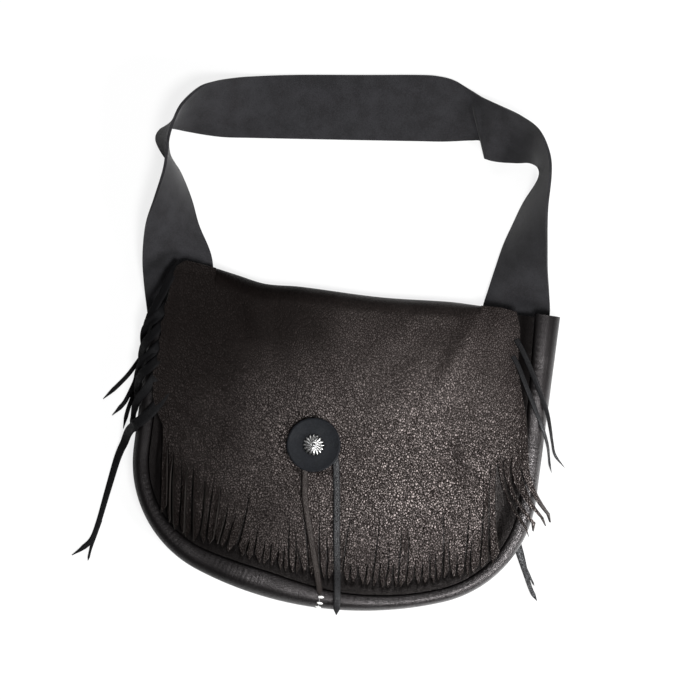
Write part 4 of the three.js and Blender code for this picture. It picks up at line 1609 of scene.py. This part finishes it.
@dataclass
class Fastening:
    """The round button, the concho on it and the lace that ties them on."""

    leather: Leather
    surface: BagSurface
    x: float = -22.0
    y: float = 3.0
    radius: float = 24.0
    thick: float = 4.0
    bevel: float = 1.5
    crown: float = 0.55
    groove_width: float = 0.9
    groove_depth: float = 0.35
    face_ring: float = 9.0
    hole_radius: float = 4.2
    hole_offset: float = 5.0
    edge_round: float = 0.22
    concho_radius: float = 9.75
    dome_share: float = 0.93
    dome_flattening: float = 0.36
    boss_radius: float = 1.25
    boss_height: float = 3.7
    flutes: int = 16
    flute_size: Point3 = (4.4, 1.5, 1.3)
    flute_at: Point3 = (5.5, 0.0, 2.7)
    flute_slope: float = 17.0
    flute_twist: float = 0.55
    tail_tip: float = 0.12

    @property
    def base(self) -> float:
        """The height of the button's underside."""
        under = float(self.surface.under_profile(self.surface.plan.inset(np.array([self.x]), np.array([self.y])))[0])
        return under + self.leather.hide + self.leather.lace + 2 * self.leather.gap

    def spot(self, aside: float, height: float) -> Point3:
        """A place beside the fastening's middle, in metres."""
        return (self.x + aside) * MM, self.y * MM, height * MM

    def build_button(self, material: Material) -> Piece:
        """Makes the button: a round blank with a bevelled rim and a shallow ring, bored for the lace.

        Args:
            material: The leather.

        Returns:
            The object.
        """
        bpy.ops.object.select_all(action="DESELECT")
        middle = self.base + self.thick / 2
        bpy.ops.mesh.primitive_cylinder_add(
            vertices=128, radius=self.radius * MM, depth=self.thick * MM, location=self.spot(0, middle)
        )
        button = bpy.context.object
        button.name = "button_leather_disc"
        only(button)
        bpy.ops.object.transform_apply(location=True, rotation=True, scale=True)
        bpy.ops.object.mode_set(mode="EDIT")
        work = bmesh.from_edit_mesh(button.data)
        for face in work.faces:
            face.select = face.normal.z > 0.9
        bmesh.update_edit_mesh(button.data)
        bpy.ops.mesh.inset(thickness=self.bevel * MM, depth=0)
        bpy.ops.mesh.select_more()
        bpy.ops.mesh.select_less()
        bpy.ops.transform.translate(value=(0, 0, self.crown * MM))
        bpy.ops.mesh.inset(thickness=self.groove_width * MM, depth=-self.groove_depth * MM)
        bpy.ops.mesh.inset(thickness=self.face_ring * MM, depth=0)
        bpy.ops.mesh.select_all(action="SELECT")
        bpy.ops.mesh.normals_make_consistent(inside=False)
        bpy.ops.object.mode_set(mode="OBJECT")
        for side in (-1, 1):
            bpy.ops.mesh.primitive_cylinder_add(
                vertices=32, radius=self.hole_radius * MM, depth=5 * self.thick * MM,
                location=self.spot(side * self.hole_offset, middle),
            )  # fmt: skip
            drill = bpy.context.object
            apply_modifier(button, "BOOLEAN", operation="DIFFERENCE", object=drill)
            bpy.data.objects.remove(drill)
        button.data.materials.append(material)
        apply_modifier(
            button, "BEVEL", width=self.edge_round * MM, segments=2, limit_method="ANGLE",
            angle_limit=math.radians(25),
        )  # fmt: skip
        smooth(button, 35)
        return button

    def build_concho(self, materials: Sequence[Material]) -> Piece:
        """Makes the concho: a dome ringed by long rounded flutes, with a boss in the middle.

        Args:
            materials: The darkened silver of the ground and the polished silver of the flutes.

        Returns:
            The object.
        """
        base = self.base + self.thick + self.leather.gap + 0.2
        bpy.ops.object.select_all(action="DESELECT")
        centre = self.spot(0, base)
        bpy.ops.mesh.primitive_uv_sphere_add(
            segments=96, ring_count=32, radius=self.concho_radius * self.dome_share * MM, location=centre
        )
        dome = bpy.context.object
        dome.name = "concho_fluted_silver"
        only(dome)
        bpy.ops.object.mode_set(mode="EDIT")
        bpy.ops.mesh.bisect(plane_co=centre, plane_no=(0, 0, 1), clear_inner=True, use_fill=True)
        bpy.ops.mesh.select_all(action="SELECT")
        bpy.ops.transform.resize(value=(1, 1, self.dome_flattening), center_override=centre)
        bpy.ops.object.mode_set(mode="OBJECT")
        bpy.ops.object.transform_apply(location=True, rotation=True, scale=True)
        dome.data.materials.append(materials[0])
        petals = self.build_flutes(base)
        bpy.ops.object.select_all(action="DESELECT")
        boss_at = (centre[0], centre[1], centre[2] + self.boss_height * MM)
        bpy.ops.mesh.primitive_uv_sphere_add(
            segments=32, ring_count=16, radius=self.boss_radius * MM, location=boss_at
        )
        boss = bpy.context.object
        bpy.ops.object.transform_apply(location=True, rotation=True, scale=True)
        bpy.ops.object.select_all(action="DESELECT")
        for obj in (*petals, boss):
            obj.data.materials.append(materials[1])
        for obj in (*petals, boss, dome):
            obj.select_set(True)
        bpy.context.view_layer.objects.active = dome
        bpy.ops.object.join()
        smooth(dome, 50)
        return dome

    def build_flutes(self, base: float) -> list[Piece]:
        """Makes one flute, a long drop that is wide and round at the rim and narrow at the boss, and copies it round.

        Args:
            base: The height of the concho's foot.

        Returns:
            The flutes.
        """
        petal = stretched_ball(1.0, self.flute_size)
        half = self.flute_size[0] * MM
        for vertex in petal.data.vertices:
            inward = (half - vertex.co.x) / (2 * half)
            vertex.co.y *= 1.12 - 0.86 * inward
            vertex.co.z *= 1.1 - 0.55 * inward
            vertex.co.y += self.flute_twist * MM * inward
        slope = Matrix.Rotation(math.radians(self.flute_slope), 4, "Y")
        out = Matrix.Translation(Vector(self.flute_at) * MM)
        place = Matrix.Translation(Vector((self.x, self.y, base)) * MM)
        turns = [Matrix.Rotation(2 * math.pi * (k + 0.25) / self.flutes, 4, "Z") for k in range(self.flutes)]
        petals = copies(petal, [place @ turn @ out @ slope for turn in turns])
        bpy.data.objects.remove(petal)
        return petals

    def lace_lines(self) -> tuple[list[Point3], list[Point3]]:
        """The routes of the lace's two tails.

        Returns:
            The left one, through the button and over the concho's bar, and the right one, from under the button.
        """
        low = self.base - self.leather.gap - self.leather.lace / 2
        top = self.base + self.thick + self.leather.gap + 2.2
        x, y, hole = self.x, self.y, self.hole_offset

        def lie(px: float, py: float) -> Point3:
            """A point on the flap, or on the gusset below it."""
            under = float(self.surface.under_flap(np.array([px]), np.array([py]))[0])
            return px, py, under + self.leather.hide + self.leather.gap + self.leather.lace / 2 + 0.6

        over = [
            (x + 10, y, low), (x + hole + 0.5, y, self.base), (x + hole, y, self.base + 1.6),
            (x + hole, y, self.base + self.thick - 0.4), (x + hole - 1.3, y, top - 1), (x + 1.6, y, top),
            (x - 1.6, y, top), (x - hole + 1.3, y, top - 1), (x - hole, y, self.base + self.thick - 0.4),
            (x - hole, y, self.base + 1.6), (x - hole - 0.5, y, self.base), (x - 10, y, low),
            (x - 13, y - 5, low), (x - 9, y - 14, low),
        ]  # fmt: skip
        left = [(-27, -20), (-23.5, -45), (-17, -68), (-11, -88), (-5, -107), (-1, -120), (1, -128)]
        right = [(0, -12), (2.5, -28), (5, -45), (9, -77), (13, -103), (16, -126), (17.5, -143)]
        start = [(x + 12, y - 1, low), (x + 16, y - 2, low), (x + 19, y - 6, low)]
        return [*over, *[lie(*p) for p in left]], [*start, *[lie(*p) for p in right]]

    def build_lace(
        self, name: str, line: list[Point3], width: float, material: Material
    ) -> tuple[Piece, np.ndarray]:
        """Makes one tail of the lace.

        Args:
            name: Its name.
            line: Its route.
            width: Its width.
            material: The leather.

        Returns:
            The object and the line down its middle.
        """
        path = smooth_line(line, len(line) * 8)
        sides, ups = strip_frames(path)
        t = np.linspace(0, 1, len(path))
        widths = width * np.minimum(1, self.tail_tip + (1 - self.tail_tip) * (1 - t) / 0.035)
        points, faces = strip_points(path, sides, ups, widths, self.leather.lace)
        lace = make_object(name, points, faces, [material])
        smooth(lace, 60)
        return lace, path


@dataclass
class Stitches:
    """The white stitches that join the gusset's halves at the bottom."""

    places: tuple[tuple[float, float, float, float], ...] = (
        (2.0, -129.5, 36.4, 0.0), (1.7, -135.2, 34.6, 0.5), (0.7, -139.2, 29.0, 1.0), (0.3, -141.3, 22.5, 1.3),
    )  # fmt: skip
    length: float = 5.4
    thick: float = 1.5
    fan: float = 4.0

    def build(self, material: Material) -> list[Piece]:
        """Makes a stitch, a short padded bar that dips into the leather at its ends, and copies it to its places.

        Args:
            material: The thread.

        Returns:
            The objects.
        """
        model = stretched_ball(0.5, (self.length, self.thick * 1.5, self.thick))
        model.data.materials.append(material)
        smooth(model, 80)
        places = []
        for index, (x, y, z, slope) in enumerate(self.places):
            turn = Matrix.Rotation(slope, 4, "X") @ Matrix.Rotation(math.radians(-self.fan * index), 4, "Z")
            places.append(Matrix.Translation(Vector((x, y, z)) * MM) @ turn)
        made = copies(model, places)
        bpy.data.objects.remove(model)
        for index, stitch in enumerate(made):
            stitch.name = f"white_stitch_{index + 1}"
        return made


# The camera, the floor and the light


@dataclass(frozen=True)
class View:
    """Where the picture is taken from: straight above, turned a little."""

    centre: Point2 = (-1.04, 90.64)
    height: float = 2200.0
    width_on_floor: float = 630.0
    turn_degrees: float = 7.5
    sensor: float = 36.0

    def build(self) -> Piece:
        """Makes the camera.

        Returns:
            The camera.
        """
        data = bpy.data.cameras.new("camera_above")
        data.sensor_width = self.sensor
        data.lens = self.sensor * self.height / self.width_on_floor
        data.clip_end = 20
        camera = bpy.data.objects.new("camera_above", data)
        camera.location = (self.centre[0] * MM, self.centre[1] * MM, self.height * MM)
        camera.rotation_euler = (0, 0, math.radians(self.turn_degrees))
        bpy.context.scene.collection.objects.link(camera)
        bpy.context.scene.camera = camera
        return camera


@dataclass(frozen=True)
class Lamp:
    """A soft square light."""

    name: str
    place: Point3
    aim: Point3
    size: float
    power: float
    colour: Point3 = (1.0, 1.0, 1.0)

    def build(self) -> Piece:
        """Makes the light and turns it to what it lights.

        Returns:
            The light.
        """
        data = bpy.data.lights.new(self.name, "AREA")
        data.size = self.size
        data.energy = self.power
        data.color = self.colour
        lamp = bpy.data.objects.new(self.name, data)
        lamp.location = self.place
        toward = Vector(self.aim) - Vector(self.place)
        lamp.rotation_euler = toward.to_track_quat("-Z", "Y").to_euler()
        bpy.context.scene.collection.objects.link(lamp)
        return lamp


@dataclass
class Studio:
    """The white floor, the soft lights and the pale surroundings."""

    lamps: tuple[Lamp, ...] = (
        Lamp("lamp_right", (1.3, -0.6, 1.05), (0.0, 0.02, 0.0), 0.5, 34),
        Lamp("lamp_sheen", (0.30, -0.26, 1.75), (0.05, -0.02, 0.0), 0.4, 32),
        Lamp("lamp_top", (0.1, 1.5, 1.3), (0.0, 0.1, 0.0), 0.7, 10),
        Lamp("lamp_left", (-1.4, 0.5, 1.2), (0.0, 0.05, 0.0), 0.8, 3),
    )
    surround: float = 0.07
    floor_glow: float = 0.8

    def build(self) -> None:
        """Makes the floor, the lights and the world."""
        bpy.ops.object.select_all(action="DESELECT")
        bpy.ops.mesh.primitive_plane_add(size=8, location=(0, 0, -0.0004))
        floor = bpy.context.object
        floor.name = "floor_white"
        floor.data.materials.append(self.floor_material())
        for lamp in self.lamps:
            lamp.build()
        self.world()

    def floor_material(self) -> Material:
        """Makes a white floor that keeps a faint shadow.

        Returns:
            The material.
        """
        sheet = NodeSheet(bpy.data.materials.new("floor_white"))
        seen = sheet.add("ShaderNodeLightPath").outputs["Is Camera Ray"]
        diffuse = sheet.add("ShaderNodeBsdfDiffuse", Color=(0.86, 0.86, 0.86, 1))
        glow = sheet.add("ShaderNodeEmission", Color=(1, 1, 1, 1), Strength=1.0)
        mixer = sheet.add("ShaderNodeMixShader", Fac=sheet.math("MULTIPLY", seen, self.floor_glow))
        sheet.link(diffuse.outputs["BSDF"], mixer.inputs[1])
        sheet.link(glow.outputs["Emission"], mixer.inputs[2])
        return sheet.end(mixer.outputs["Shader"])

    def world(self) -> None:
        """The pale surroundings, white to the camera."""
        sheet = NodeSheet(bpy.data.worlds.new("surroundings"))
        seen = sheet.add("ShaderNodeLightPath").outputs["Is Camera Ray"]
        strength = sheet.spread(seen, 0, 1, self.surround, 1.0)
        back = sheet.add("ShaderNodeBackground", Color=(1, 1, 1, 1), Strength=strength)
        bpy.context.scene.world = sheet.end(back.outputs["Background"], "World")


# Putting it together


def finish_piece(obj: Piece, nodes: Sequence[str] = ()) -> None:
    """Puts a piece on the bag's body and lets it stand for CAD nodes.

    Args:
        obj: The piece.
        nodes: The CAD nodes it stands for.
    """
    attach(obj, "root")
    if nodes:
        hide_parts(*nodes)
    LOG.info("%s: %d faces", obj.name, len(obj.data.polygons))


def build_bag() -> None:
    plan, leather = BagPlan(), Leather()
    surface = BagSurface(plan, leather)
    body, gusset_leather = leather_material(BODY), leather_material(GUSSET)
    suede, edge = leather_material(STRAP), leather_material(CUT_EDGE)

    fastening = Fastening(leather, surface)
    lace_leather, strand_leather = leather_material(LACE), leather_material(STRAND)
    left_line, right_line = fastening.lace_lines()
    for name, line, width, face in (
        ("lace_left_tail", left_line, 5.6, lace_leather),
        ("lace_right_tail", right_line, 6.2, strand_leather),
    ):
        lace, path = fastening.build_lace(name, line, width, face)
        finish_piece(lace, ("closure_lace",))

    hide = Hide(plan, leather, surface)
    pieces = hide.build([body, edge, strand_leather])
    for k, piece in enumerate(pieces):
        finish_piece(piece, ("back_panel_with_flap",) if k == 0 else ())

    panel = FrontPanel(plan, leather, surface).build([leather_material(PANEL), edge])
    finish_piece(panel, ("front_panel",))

    reach_left, reach_right = plan.length_to(plan.left_top_y), plan.length_to(plan.mouth_y)
    for name, start, end, node in (
        ("gusset_left_roll", -reach_left, 0.85, "gusset_left"),
        ("gusset_right_roll", 1.15, reach_right, "gusset_right"),
    ):
        gusset = Gusset(plan, leather, surface, start, end, name).build([gusset_leather, edge])
        finish_piece(gusset, (node,))

    strap = Strap(leather)
    strip = strap.build([suede])
    finish_piece(strip, ("shoulder_strap",))

    button = fastening.build_button(leather_material(DISC))
    finish_piece(button, ("button_disc",))
    concho = fastening.build_concho([silver_material(GROUND_SILVER), silver_material(FLUTE_SILVER)])
    finish_piece(concho, ("concho",))
    for stitch in Stitches().build(thread_material()):
        finish_piece(stitch)


def main() -> None:
    """Builds the camera, the bag and the studio."""
    View().build()
    build_bag()
    Studio().build()
    bpy.context.scene.view_settings.view_transform = "Standard"


if __name__ == "__main__":
    main()
